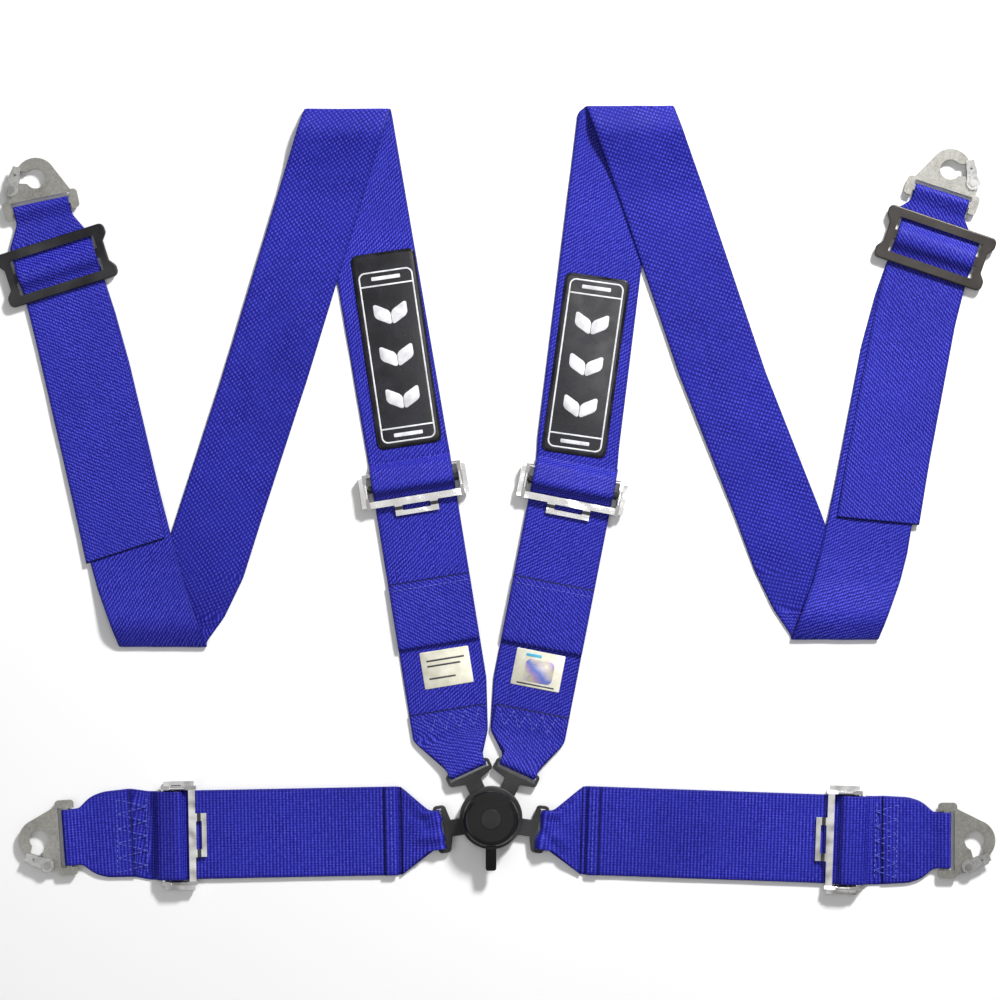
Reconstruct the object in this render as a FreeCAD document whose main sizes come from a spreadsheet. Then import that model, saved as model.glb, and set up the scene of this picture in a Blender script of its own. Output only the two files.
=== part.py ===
import FreeCAD, Part
import math
import os
import Sketcher
from FreeCAD import Placement, Rotation, Vector

# Four-point racing harness, laid out flat. Millimetres and degrees.
# Origin: centre of the buckle's back face. +Y runs towards the shoulder straps, +Z up.
# Each strap has its own frame: x outwards along the strap, y across it, z up.

SIZES = {
    # webbing
    "webbing_thickness": 1.5, "shoulder_width": 73.5, "lap_width": 79.0,
    "hook_end_width": 50.0, "tongue_end_width": 35.0, "layer_gap": 0.3,
    "tail_height": 1.9, "taper_straight": 12.0, "taper_length": 46.0,
    "inner_trim": 6.2, "inner_trim_length": 44.0,
    # buckle
    "buckle_radius": 28.0, "base_radius": 26.6, "base_thickness": 2.3, "housing_bottom": 2.4,
    "housing_top": 10.0, "slot_start": 8.5, "slot_top": 5.9, "slot_clearance": 0.4,
    "post_radius": 3.8, "post_head_radius": 5.4, "post_head_bottom": 18.4, "post_top": 20.0,
    "post_bore_radius": 3.95, "post_seat": 0.8,
    "latch_radius": 17.0, "pin_radius": 2.5, "pin_bore_radius": 2.7, "pin_bottom": 5.8,
    "carrier_bottom": 10.3, "carrier_top": 12.0, "carrier_outer": 20.4,
    "carrier_inner": 13.4, "screw_circle": 21.5, "screw_shank_radius": 1.5,
    "screw_head_radius": 2.8, "screw_head_bottom": 0.3, "screw_head_top": 1.6,
    "screw_tip": 8.0, "screw_bore_radius": 1.6, "screw_recess_radius": 3.0,
    # knob
    "knob_radius": 24.6, "knob_bottom": 10.4, "knob_shoulder": 18.5, "knob_top": 23.4,
    "knob_face_radius": 15.0, "knob_dish_radius": 9.3, "knob_dish_bottom": 22.0,
    "knob_hollow_radius": 22.2, "knob_hollow_top": 16.4, "knob_seat_radius": 6.2,
    "knob_bore_radius": 3.9, "cap_radius": 9.0, "cap_thickness": 1.2,
    "lever_width": 9.5, "lever_length": 46.5, "lever_bottom": 11.0, "lever_root_top": 19.0,
    "lever_tip_top": 15.0, "lever_knee": 27.0, "lever_round": 2.6, "knob_round": 4.6,
    "cap_round": 0.5, "knob_step_y": 14.5, "knob_step_bottom": 21.6,
    "spring_wire": 0.6, "spring_pitch": 1.7, "knob_spring_radius": 7.6, "pin_spring_radius": 16.5,
    # tongue
    "tongue_bottom": 2.6, "tongue_thickness": 3.0, "tongue_tip": 9.0, "blade_half": 7.4,
    "neck_end": 35.5, "head_start": 39.0, "head_end": 50.0, "head_half": 21.2,
    "tongue_slot_start": 42.4, "tongue_slot_end": 46.5, "tongue_slot_half": 18.4,
    "latch_hole_radius": 3.0, "tongue_corner": 3.6, "tongue_edge": 0.7,
    "loop_inner": 2.55, "loop_outer": 4.1, "loop_height": 4.1,
    # adjuster
    "cheek_inner": 40.9, "cheek_thickness": 3.4, "cheek_lip": 4.2, "anchor_x": 11.0,
    "anchor_height": 4.1, "anchor_radius": 2.2, "cheek_end_radius": 3.9,
    "cheek_front": 19.0, "cheek_bottom": 0.5, "cheek_top": 12.6, "cheek_shoulder": 8.4,
    "cheek_crest_front": 9.0, "cheek_crest_back": 4.0, "cheek_front_low": 3.4,
    "lip_bottom": 1.6, "lip_top": 7.8, "front_bar_start": 12.0, "front_bar_end": 18.0,
    "front_bar_bottom": 4.3, "front_bar_top": 8.6, "tab_half": 19.5, "tab_thickness": 1.6,
    "tab_knee": 19.4, "tab_drop": 22.0, "tab_end": 27.6, "tab_low": 4.4,
    "tab_slot_half": 12.5, "tab_slot_start": 18.6, "tab_slot_end": 23.4,
    "slide_bar_x": 1.0, "slide_bar_height": 8.3, "slide_bar_radius": 3.4,
    "slide_bar_half": 40.4, "journal_radius": 1.9, "journal_half": 43.6,
    "guide_half_length": 4.4, "guide_half_height": 2.2, "edge_round": 1.1,
    "webbing_rise_start": 20.5,
    # hook
    "hook_thickness": 3.0, "hook_height": 4.4, "hook_bar_half": 2.5, "hook_slot_end": 7.2,
    "hook_slot_half": 26.5, "ear_back": 7.4, "ear_half": 33.6, "ear_front": 9.5,
    "hook_loop_inner": 2.95, "hook_loop_outer": 4.4, "eye_x": 25.0, "eye_radius": 9.0,
    "crown_radius": 18.4, "throat_half": 5.5, "throat_angle": 15.0, "throat_reach": 32.0,
    "lug_x": 19.5, "lug_y": 23.0, "lug_radius": 5.6, "hook_edge": 0.7, "ear_corner": 3.4,
    # gate
    "leaf_thickness": 0.9, "leaf_low": 1.6, "leaf_high": 6.8, "leaf_reach": 20.6,
    "leaf_half": 5.2, "web_start": 7.6, "web_end": 14.4, "gate_angle": 25.7,
    "rivet_radius": 1.7, "rivet_bore_radius": 1.8, "rivet_head_radius": 3.1,
    "rivet_head_height": 0.8, "rivet_gap": 0.2, "gate_hole_radius": 1.0, "gate_hole_x": 13.0,
    "gate_spring_radius": 2.6, "gate_spring_wire": 0.3, "gate_spring_leg": 9.0,
    # three-bar slider
    "slider_half_length": 24.6, "slider_half_width": 50.5, "slider_waist": 45.8,
    "slider_bar": 8.4, "slider_window_half": 39.2, "slider_bottom": 3.6,
    "slider_thickness": 3.6, "slider_centre_half": 4.0, "slider_corner": 5.0,
    "slider_edge": 1.3, "slider_horn": 15.0,
    # badge and label
    "badge_thickness": 0.6, "badge_width": 58.0, "badge_length": 165.0,
    "label_thickness": 0.2, "label_width": 44.0, "label_length": 33.0,
    # folds of the shoulder straps
    "fold_height": 2.3, "anchor_knee": 80.0,
}

STRAPS = {
    # heading: direction of the strap, tongue: heading of its tongue, throat: side of the hook.
    # trim_left and trim_right: 1 where the lower webbing gives way to the strap beside it.
    "shoulder_left": {
        "adjuster": (-69.6, 299.0), "heading": 99.2, "tongue": 115.0, "tongue_from": (-1.0, 0.0),
        "hook": (-400.9, 545.2), "hook_heading": 101.7, "throat": 1,
        "full_width_x": 229.0, "turned_back": 24.0, "hem_x": 147.0, "hem_length": 60.0,
        "trim_left": 0, "trim_right": 1,
        "inner_heading": 99.7, "top_fold_y": 630.5, "outer_top_x": -128.6,
        "bottom_fold_y": 153.5, "outer_bottom_x": -278.5, "anchor_bottom_x": -301.0,
        "slider": (-387.0, 492.0), "slider_heading": 107.5, "tail_end_x": 262.0,
        "badge": (-84.8, 417.9), "badge_heading": 98.3, "badge_length": 175.0,
        "label": (-39.7, 133.5),
    },
    "shoulder_right": {
        "adjuster": (73.0, 295.0), "heading": 78.9, "tongue": 65.0, "tongue_from": (4.0, 0.0),
        "hook": (401.7, 553.9), "hook_heading": 71.9, "throat": -1,
        "full_width_x": 227.0, "turned_back": 24.0, "hem_x": 147.0, "hem_length": 60.0,
        "trim_left": 1, "trim_right": 0,
        "inner_heading": 82.9, "top_fold_y": 633.0, "outer_top_x": 124.5,
        "bottom_fold_y": 160.0, "outer_bottom_x": 296.0, "anchor_bottom_x": 318.0,
        "slider": (396.0, 508.0), "slider_heading": 71.2, "tail_end_x": 250.0,
        "badge": (84.4, 403.1), "badge_heading": 82.0, "badge_length": 161.0,
        "label": (42.0, 131.3),
    },
    "lap_left": {
        "adjuster": (-281.0, -16.0), "heading": 181.1, "tongue": 188.0,
        "tongue_from": (0.0, -4.5), "hook": (-377.6, -18.0), "hook_heading": 184.0,
        "throat": 1, "full_width_x": 201.0, "turned_back": 2.0, "hem_x": 198.0,
        "hem_length": 12.0, "trim_left": 0, "trim_right": 0,
    },
    "lap_right": {
        "adjuster": (317.0, -20.0), "heading": -2.0, "tongue": -8.0,
        "tongue_from": (0.0, -4.5), "hook": (406.1, -20.5), "hook_heading": 0.0,
        "throat": -1, "full_width_x": 236.0, "turned_back": 2.0, "hem_x": 232.0,
        "hem_length": 12.0, "trim_left": 0, "trim_right": 0,
    },
}
SCREW_ANGLES = (28.0, 152.0, 238.0, 302.0)
KNURL_FLATS = 18

doc = FreeCAD.newDocument("RacingHarness")
sheet = doc.addObject("Spreadsheet::Sheet", "Sizes")


class Quantity:
    """A number that carries the sheet formula it comes from."""

    def __init__(self, number, formula):
        self.number = number
        self.formula = formula

    def combine(self, other, sign, number):
        return Quantity(number, f"({self.formula} {sign} {as_quantity(other).formula})")

    def __add__(self, other):
        return self.combine(other, "+", self.number + as_quantity(other).number)

    def __sub__(self, other):
        return self.combine(other, "-", self.number - as_quantity(other).number)

    def __mul__(self, other):
        return self.combine(other, "*", self.number * as_quantity(other).number)

    def __truediv__(self, other):
        return self.combine(other, "/", self.number / as_quantity(other).number)

    def __neg__(self):
        return Quantity(-self.number, f"(0 - {self.formula})")


def as_quantity(value):
    return value if isinstance(value, Quantity) else Quantity(value, f"({value})")


def cosine(angle):
    return Quantity(math.cos(math.radians(angle.number)), f"cos({angle.formula} * 1 deg)")


def sine(angle):
    return Quantity(math.sin(math.radians(angle.number)), f"sin({angle.formula} * 1 deg)")


def tangent(angle):
    return sine(angle) / cosine(angle)


def fill_sheet():
    """Write every size and every strap's layout into the sheet, one alias each."""
    rows = dict(SIZES)
    for strap, layout in STRAPS.items():
        for key, value in layout.items():
            if isinstance(value, tuple):
                rows[f"{strap}_{key}_x"], rows[f"{strap}_{key}_y"] = value
            else:
                rows[f"{strap}_{key}"] = value
    for number, (alias, value) in enumerate(rows.items(), start=1):
        sheet.set(f"A{number}", alias.replace("_", " "))
        sheet.set(f"B{number}", str(value))
        sheet.setAlias(f"B{number}", alias)
    doc.recompute()
    return rows


ROWS = fill_sheet()


class Sizes:
    """Gives each sheet alias as a Quantity, such as size.webbing_thickness."""

    def __getattr__(self, alias):
        return Quantity(float(ROWS[alias]), f"Sizes.{alias}")

    def of(self, strap, key):
        return getattr(self, f"{strap}_{key}")


size = Sizes()


def point_of(strap, key):
    return Vector(size.of(strap, key + "_x").number, size.of(strap, key + "_y").number, 0)


def facing(heading, base=Vector(0, 0, 0)):
    """Placement that turns a strap frame to its heading and moves it to its base."""
    return Placement(base, Rotation(Vector(0, 0, 1), heading))


def new_body(name, placement=None):
    body = doc.addObject("PartDesign::Body", name)
    body.Label = name
    body.Placement = placement or Placement()
    return body


def new_sketch(body, role, height=None, offset=None):
    """Sketch on one of the body's own planes, lifted by height or moved by offset."""
    sketch = body.newObject("Sketcher::SketchObject", f"{body.Name}_sketch")
    plane = next(item for item in body.Origin.OriginFeatures if item.Role == role)
    sketch.AttachmentSupport = [(plane, "")]
    sketch.MapMode = "FlatFace"
    if offset is not None:
        sketch.AttachmentOffset = offset
    if height is not None:
        sketch.setExpression(".AttachmentOffset.Base.z", height.formula)
    return sketch


def bind(sketch, kind, target, quantity):
    """Add one dimension, bound to its formula. A zero becomes a point on an axis."""
    if kind != "Radius" and abs(quantity.number) < 1e-9:
        axis = -2 if kind == "DistanceX" else -1
        sketch.addConstraint(Sketcher.Constraint("PointOnObject", *target, axis))
        return
    where = target if kind == "Radius" else (-1, 1, *target)
    index = sketch.addConstraint(Sketcher.Constraint(kind, *where, quantity.number))
    name = f"size_{index}"
    sketch.renameConstraint(index, name)
    sketch.setExpression(f"Constraints.{name}", quantity.formula)


def add_polygon(sketch, corners):
    corners = [(as_quantity(x), as_quantity(y)) for x, y in corners]
    first = sketch.GeometryCount
    points = [Vector(x.number, y.number, 0) for x, y in corners]
    count = len(points)
    for number in range(count):
        sketch.addGeometry(Part.LineSegment(points[number], points[(number + 1) % count]), False)
    for number in range(count):
        following = first + (number + 1) % count
        sketch.addConstraint(Sketcher.Constraint("Coincident", first + number, 2, following, 1))
    for number, (x, y) in enumerate(corners):
        bind(sketch, "DistanceX", (first + number, 1), x)
        bind(sketch, "DistanceY", (first + number, 1), y)


def add_circle(sketch, x, y, radius):
    x, y = as_quantity(x), as_quantity(y)
    middle = Vector(x.number, y.number, 0)
    index = sketch.addGeometry(Part.Circle(middle, Vector(0, 0, 1), radius.number), False)
    bind(sketch, "Radius", (index,), radius)
    bind(sketch, "DistanceX", (index, 3), x)
    bind(sketch, "DistanceY", (index, 3), y)


def rectangle(x_low, x_high, y_low, y_high):
    return [(x_low, y_low), (x_high, y_low), (x_high, y_high), (x_low, y_high)]


def pad(body, sketch, length, midplane=False, backwards=False):
    feature = body.newObject("PartDesign::Pad", f"{body.Name}_pad")
    feature.Profile = sketch
    feature.setExpression("Length", as_quantity(length).formula)
    feature.Midplane = midplane
    feature.Reversed = backwards
    doc.recompute()
    return feature


def cut_through(body, sketch):
    """Pocket that runs through the whole body both ways. It has to remove something."""
    before = body.Tip.Shape.Volume
    feature = body.newObject("PartDesign::Pocket", f"{body.Name}_pocket")
    feature.Profile = sketch
    feature.Type = "ThroughAll"
    feature.Midplane = True
    doc.recompute()
    if not feature.Shape.Volume < before:
        raise RuntimeError(f"{feature.Name} removes nothing")
    return feature


def cut_depth(body, sketch, depth, upwards=False):
    """Pocket of a set depth, down from the sketch or up from it."""
    before = body.Tip.Shape.Volume
    feature = body.newObject("PartDesign::Pocket", f"{body.Name}_pocket")
    feature.Profile = sketch
    feature.setExpression("Length", as_quantity(depth).formula)
    feature.Reversed = upwards
    doc.recompute()
    if not feature.Shape.Volume < before:
        raise RuntimeError(f"{feature.Name} removes nothing")
    return feature


def revolve(body, sketch):
    """Turn a profile drawn on the XZ plane about the body's Z axis."""
    feature = body.newObject("PartDesign::Revolution", f"{body.Name}_revolution")
    feature.Profile = sketch
    feature.ReferenceAxis = (sketch, ["V_Axis"])
    feature.Angle = 360
    doc.recompute()
    return feature


def round_edges(body, radius, wanted):
    """Fillet the edges of the body's tip that the test picks."""
    shape = body.Tip.Shape
    names = [f"Edge{i}" for i, edge in enumerate(shape.Edges, start=1) if wanted(edge)]
    base = body.Tip
    feature = body.newObject("PartDesign::Fillet", f"{body.Name}_fillet")
    feature.Base = (base, names)
    feature.setExpression("Radius", radius.formula)
    doc.recompute()
    if "Invalid" in feature.State or not feature.Shape.isValid():
        raise RuntimeError(f"{feature.Name} fails on {len(names)} edges")
    return feature


def is_upright(edge):
    """A straight edge along Z."""
    if edge.Curve.TypeId != "Part::GeomLine":
        return False
    return abs(edge.tangentAt(edge.FirstParameter).z) > 0.999


def lies_flat_at(height):
    """Test for edges that lie in the level plane at this height."""
    def test(edge):
        box = edge.BoundBox
        return box.ZLength < 1e-6 and abs(box.ZMax - height) < 1e-6
    return test


def root(quantity):
    return Quantity(math.sqrt(quantity.number), f"sqrt({quantity.formula})")


def turned(x, y, angle):
    """The point x, y turned about the origin by the angle."""
    x, y = as_quantity(x), as_quantity(y)
    return x * cosine(angle) - y * sine(angle), x * sine(angle) + y * cosine(angle)


def seen_from(strap, origin_key, heading_key, x, y):
    """The global point x, y in the frame at the strap's named point and heading."""
    heading = size.of(strap, heading_key)
    from_x = as_quantity(x) - size.of(strap, origin_key + "_x")
    from_y = as_quantity(y) - size.of(strap, origin_key + "_y")
    return turned(from_x, from_y, -heading)


def shifted(point, along, across, angle):
    """The point moved along and across a direction at the angle."""
    step_x, step_y = turned(along, across, angle)
    return point[0] + step_x, point[1] + step_y


def add_cross_bar(body, x, height, radius, half_width, offset=None):
    """Round bar across the strap frame at x and height."""
    sketch = new_sketch(body, "XZ_Plane", offset=offset)
    add_circle(sketch, x, height, radius)
    return pad(body, sketch, half_width * 2, midplane=True)


def cut_cross_bore(body, x, height, radius, offset=None):
    sketch = new_sketch(body, "XZ_Plane", offset=offset)
    add_circle(sketch, x, height, radius)
    return cut_through(body, sketch)


def add_plate(body, corners, bottom, thickness):
    sketch = new_sketch(body, "XY_Plane", height=as_quantity(bottom))
    add_polygon(sketch, corners)
    return pad(body, sketch, thickness)


def turned_offset(point, angle):
    """Sketch offset on the XZ plane: move to the point and turn about the vertical."""
    base = Vector(point[0].number, 0, -point[1].number)
    return Placement(base, Rotation(Vector(0, 1, 0), angle.number))


def strap_width(strap):
    return size.shoulder_width if strap.startswith("shoulder") else size.lap_width


# ---------------------------------------------------------------- buckle


def tongue_point(strap, distance, across=0.0):
    """Global point at a distance along the axis of the strap's tongue."""
    x, y = turned(distance, across, size.of(strap, "tongue"))
    return size.of(strap, "tongue_from_x") + x, size.of(strap, "tongue_from_y") + y


def screw_point(angle):
    angle = as_quantity(angle)
    return size.screw_circle * cosine(angle), size.screw_circle * sine(angle)


def make_buckle_base():
    body = new_body("buckle_base")
    sketch = new_sketch(body, "XY_Plane")
    add_circle(sketch, 0, 0, size.base_radius)
    pad(body, sketch, size.base_thickness)
    recesses = new_sketch(body, "XY_Plane")
    bores = new_sketch(body, "XY_Plane")
    for angle in SCREW_ANGLES:
        add_circle(recesses, *screw_point(angle), size.screw_recess_radius)
        add_circle(bores, *screw_point(angle), size.screw_bore_radius)
    post_bore = new_sketch(body, "XY_Plane", height=size.post_seat)
    add_circle(post_bore, 0, 0, size.post_bore_radius)
    cut_depth(body, recesses, size.screw_head_top, upwards=True)
    cut_through(body, bores)
    cut_depth(body, post_bore, size.base_thickness - size.post_seat, upwards=True)
    return body


def make_buckle_housing():
    body = new_body("buckle_housing")
    sketch = new_sketch(body, "XY_Plane", height=size.housing_bottom)
    add_circle(sketch, 0, 0, size.buckle_radius)
    pad(body, sketch, size.housing_top - size.housing_bottom)
    half = size.blade_half + size.slot_clearance
    for strap in STRAPS:
        slot = new_sketch(body, "XY_Plane", height=size.housing_bottom)
        ends = (size.slot_start, size.buckle_radius + size.slot_start)
        corners = [(ends[0], -half), (ends[1], -half), (ends[1], half), (ends[0], half)]
        add_polygon(slot, [tongue_point(strap, *corner) for corner in corners])
        cut_depth(body, slot, size.slot_top - size.housing_bottom, upwards=True)
    bores = new_sketch(body, "XY_Plane")
    add_circle(bores, 0, 0, size.post_bore_radius)
    for strap in STRAPS:
        add_circle(bores, *tongue_point(strap, size.latch_radius), size.pin_bore_radius)
    cut_through(body, bores)
    screw_bores = new_sketch(body, "XY_Plane", height=size.housing_bottom)
    for angle in SCREW_ANGLES:
        add_circle(screw_bores, *screw_point(angle), size.screw_bore_radius)
    cut_depth(body, screw_bores, size.screw_tip - size.housing_bottom, upwards=True)
    rim_top = size.housing_top.number
    rim_radius = size.buckle_radius.number
    round_edges(body, size.edge_round,
                lambda edge: lies_flat_at(rim_top)(edge) and edge.BoundBox.XLength > rim_radius)
    return body


def make_centre_post():
    body = new_body("centre_post")
    sketch = new_sketch(body, "XZ_Plane")
    add_polygon(sketch, [
        (0, size.post_seat), (size.post_radius, size.post_seat),
        (size.post_radius, size.post_head_bottom),
        (size.post_head_radius, size.post_head_bottom),
        (size.post_head_radius, size.post_top), (0, size.post_top),
    ])
    revolve(body, sketch)
    return body


def make_housing_screws():
    """Four countersunk screws from below, in one node."""
    body = new_body("housing_screws")
    heads = new_sketch(body, "XY_Plane", height=size.screw_head_bottom)
    shanks = new_sketch(body, "XY_Plane", height=size.screw_head_bottom)
    for angle in SCREW_ANGLES:
        add_circle(heads, *screw_point(angle), size.screw_head_radius)
        add_circle(shanks, *screw_point(angle), size.screw_shank_radius)
    pad(body, heads, size.screw_head_top - size.screw_head_bottom - 0.1)
    pad(body, shanks, size.screw_tip - size.screw_head_bottom - 0.1)
    return body


def make_lock_pins():
    """Ring with one lock pin over each tongue."""
    body = new_body("lock_pins")
    ring = new_sketch(body, "XY_Plane", height=size.carrier_bottom)
    add_circle(ring, 0, 0, size.carrier_outer)
    add_circle(ring, 0, 0, size.carrier_inner)
    pad(body, ring, size.carrier_top - size.carrier_bottom)
    pins = new_sketch(body, "XY_Plane", height=size.pin_bottom)
    for strap in STRAPS:
        add_circle(pins, *tongue_point(strap, size.latch_radius), size.pin_radius)
    pad(body, pins, size.carrier_top - size.pin_bottom)
    return body


def make_release_knob():
    body = new_body("release_knob")
    profile = new_sketch(body, "XZ_Plane")
    add_polygon(profile, [
        (size.knob_bore_radius, size.knob_hollow_top),
        (size.knob_hollow_radius, size.knob_hollow_top),
        (size.knob_hollow_radius, size.knob_bottom), (size.knob_radius, size.knob_bottom),
        (size.knob_radius, size.knob_top), (size.knob_dish_radius, size.knob_top),
        (size.knob_dish_radius, size.knob_dish_bottom),
        (size.knob_seat_radius, size.knob_dish_bottom),
        (size.knob_seat_radius, size.post_head_bottom - 0.2),
        (size.knob_bore_radius, size.post_head_bottom - 0.2),
    ])
    revolve(body, profile)
    top, rim = size.knob_top.number, size.knob_radius.number
    round_edges(body, size.knob_round,
                lambda edge: lies_flat_at(top)(edge) and edge.BoundBox.XLength > rim * 1.9)
    lever = new_sketch(body, "YZ_Plane")
    root_y = -(size.knob_hollow_radius + 1.2)
    add_polygon(lever, [
        (root_y, size.lever_bottom), (root_y, size.lever_root_top),
        (-size.lever_knee, size.lever_root_top), (-size.lever_length, size.lever_tip_top),
        (-size.lever_length, size.lever_bottom),
    ])
    pad(body, lever, size.lever_width, midplane=True)
    step = new_sketch(body, "XY_Plane", height=size.knob_step_bottom)
    add_polygon(step, rectangle(-size.knob_radius, size.knob_radius,
                                size.knob_step_y, size.knob_radius))
    cut_depth(body, step, size.knob_top, upwards=True)
    tip = size.lever_length.number
    round_edges(body, size.lever_round,
                lambda edge: is_upright(edge) and abs(edge.BoundBox.YMin + tip) < 1e-6)
    return body


def make_knob_cap():
    body = new_body("knob_cap")
    sketch = new_sketch(body, "XY_Plane", height=size.knob_dish_bottom)
    add_circle(sketch, 0, 0, size.cap_radius)
    pad(body, sketch, size.cap_thickness)
    top = (size.knob_dish_bottom + size.cap_thickness).number
    round_edges(body, size.cap_round, lies_flat_at(top))
    return body


def make_spring(name, radius, bottom, top):
    """Round-wire helical spring about the buckle's axis."""
    turns = doc.addObject("Part::Helix", f"{name}_path")
    turns.setExpression("Radius", radius.formula)
    turns.setExpression("Height", (top - bottom - size.spring_wire * 2).formula)
    turns.setExpression("Pitch", size.spring_pitch.formula)
    wire = doc.addObject("Part::Circle", f"{name}_wire")
    wire.setExpression("Radius", size.spring_wire.formula)
    wire.Placement = Placement(Vector(radius.number, 0, 0), Rotation(Vector(1, 0, 0), 90))
    doc.recompute()
    coil = doc.addObject("Part::Sweep", name)
    coil.Label = name
    coil.Sections = [wire]
    coil.Spine = (turns, [f"Edge{i + 1}" for i in range(len(turns.Shape.Edges))])
    coil.Solid = True
    coil.Frenet = True
    coil.Placement = Placement(Vector(0, 0, (bottom + size.spring_wire).number), Rotation())
    doc.recompute()
    return coil


# ---------------------------------------------------------------- strap hardware


def make_tongue(strap):
    """Latch plate: a blade for the buckle and a winged head with a slot for the webbing."""
    name = f"{strap}_tongue"
    body = new_body(name, facing(size.of(strap, "tongue").number, point_of(strap, "tongue_from")))
    half, head = size.blade_half, size.head_half
    add_plate(body, [
        (size.tongue_tip, -half), (size.neck_end, -half), (size.head_start, -head),
        (size.head_end, -head), (size.head_end, head), (size.head_start, head),
        (size.neck_end, half), (size.tongue_tip, half),
    ], size.tongue_bottom, size.tongue_thickness)
    hole = new_sketch(body, "XY_Plane")
    add_circle(hole, size.latch_radius, 0, size.latch_hole_radius)
    add_polygon(hole, rectangle(size.tongue_slot_start, size.tongue_slot_end,
                                -size.tongue_slot_half, size.tongue_slot_half))
    cut_through(body, hole)
    limit = size.tongue_slot_half.number
    near_tip = size.tongue_tip.number + 1
    round_edges(body, size.tongue_corner, lambda edge: is_upright(edge) and (
        abs(edge.CenterOfMass.y) > limit + 1 or edge.CenterOfMass.x < near_tip))
    top = (size.tongue_bottom + size.tongue_thickness).number
    round_edges(body, size.tongue_edge, lies_flat_at(top))
    return body


def make_hook(strap):
    """Snap hook plate: base bar for the webbing, fin with an eye and an open throat."""
    name = f"{strap}_hook"
    body = new_body(name, facing(size.of(strap, "hook_heading").number, point_of(strap, "hook")))
    side = size.of(strap, "throat")
    bottom = size.hook_height - size.hook_thickness / 2
    add_plate(body, rectangle(-size.ear_back, size.ear_front, -size.ear_half, size.ear_half),
              bottom, size.hook_thickness)
    crown_side = -size.crown_radius * 0.94
    add_plate(body, [
        (size.ear_front - 1, -side * (size.ear_half - 5)),
        (size.eye_x + size.crown_radius * 0.34, side * crown_side),
        (size.eye_x + size.crown_radius * 0.5, side * 4),
        (size.lug_x + size.lug_radius * 0.8, side * (size.lug_y - 2)),
        (size.lug_x + 1, side * (size.lug_y + size.lug_radius)),
        (size.ear_front - 1, side * (size.ear_half - 5)),
    ], bottom, size.hook_thickness)
    for x, y, radius in ((size.eye_x, as_quantity(0), size.crown_radius),
                         (size.lug_x, side * size.lug_y, size.lug_radius)):
        disc = new_sketch(body, "XY_Plane", height=bottom)
        add_circle(disc, x, y, radius)
        pad(body, disc, size.hook_thickness)
    slot = new_sketch(body, "XY_Plane")
    add_polygon(slot, rectangle(size.hook_bar_half, size.hook_slot_end,
                                -size.hook_slot_half, size.hook_slot_half))
    cut_through(body, slot)
    bar_relief = new_sketch(body, "XY_Plane")
    add_polygon(bar_relief, rectangle(-size.ear_back - 1, -size.hook_bar_half,
                                      -size.hook_slot_half, size.hook_slot_half))
    cut_through(body, bar_relief)
    throat = new_sketch(body, "XY_Plane")
    corners = rectangle(as_quantity(0), size.throat_reach, -size.throat_half, size.throat_half)
    lean = as_quantity(90) - size.throat_angle
    outline = []
    for along, across in corners:
        x, y = turned(along, across, lean)
        outline.append((size.eye_x + x, side * y))
    add_polygon(throat, outline)
    cut_through(body, throat)
    eye = new_sketch(body, "XY_Plane")
    add_circle(eye, size.eye_x, 0, size.eye_radius)
    cut_through(body, eye)
    rivet = new_sketch(body, "XY_Plane")
    add_circle(rivet, size.lug_x, side * size.lug_y, size.rivet_bore_radius)
    cut_through(body, rivet)
    outermost = size.ear_half.number - 0.5
    round_edges(body, size.ear_corner,
                lambda edge: is_upright(edge) and abs(edge.CenterOfMass.y) > outermost)
    return body


def make_gate(strap):
    """Folded sheet gate: a leaf above and below the plate, joined by a web."""
    name = f"{strap}_gate"
    body = new_body(name, gate_placement(strap))
    side = size.of(strap, "throat")
    leaf = size.leaf_thickness
    full = size.leaf_high + leaf - size.leaf_low
    for height in (size.leaf_low, size.leaf_high):
        add_plate(body, [
            (0, -side * size.leaf_half), (size.leaf_reach, -side * (size.leaf_half - 1.6)),
            (size.leaf_reach, side * (size.leaf_half - 1.6)), (0, side * size.leaf_half),
        ], height, leaf)
        disc = new_sketch(body, "XY_Plane", height=height)
        add_circle(disc, 0, 0, size.leaf_half + 1)
        pad(body, disc, leaf)
    add_plate(body, rectangle(size.web_start, size.web_end, side * (size.leaf_half - leaf - 0.4),
                              side * (size.leaf_half - 0.4)), size.leaf_low, full)
    bores = new_sketch(body, "XY_Plane")
    add_circle(bores, 0, 0, size.rivet_bore_radius)
    add_circle(bores, size.gate_hole_x, 0, size.gate_hole_radius)
    cut_through(body, bores)
    return body


def gate_placement(strap):
    """Frame at the rivet, x along the closed gate towards the hook's tip."""
    side = size.of(strap, "throat")
    heading = size.of(strap, "hook_heading")
    step_x, step_y = turned(size.lug_x, side * size.lug_y, heading)
    base = point_of(strap, "hook") + Vector(step_x.number, step_y.number, 0)
    return facing((heading - side * size.gate_angle).number, base)


def make_gate_rivet(strap):
    body = new_body(f"{strap}_gate_rivet", gate_placement(strap))
    low = size.leaf_low - size.rivet_gap
    high = size.leaf_high + size.leaf_thickness + size.rivet_gap
    profile = new_sketch(body, "XZ_Plane")
    add_polygon(profile, [
        (0, low - size.rivet_head_height), (size.rivet_head_radius, low - size.rivet_head_height),
        (size.rivet_head_radius, low), (size.rivet_radius, low), (size.rivet_radius, high),
        (size.rivet_head_radius, high), (size.rivet_head_radius, high + size.rivet_head_height),
        (0, high + size.rivet_head_height),
    ])
    revolve(body, profile)
    return body


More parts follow.
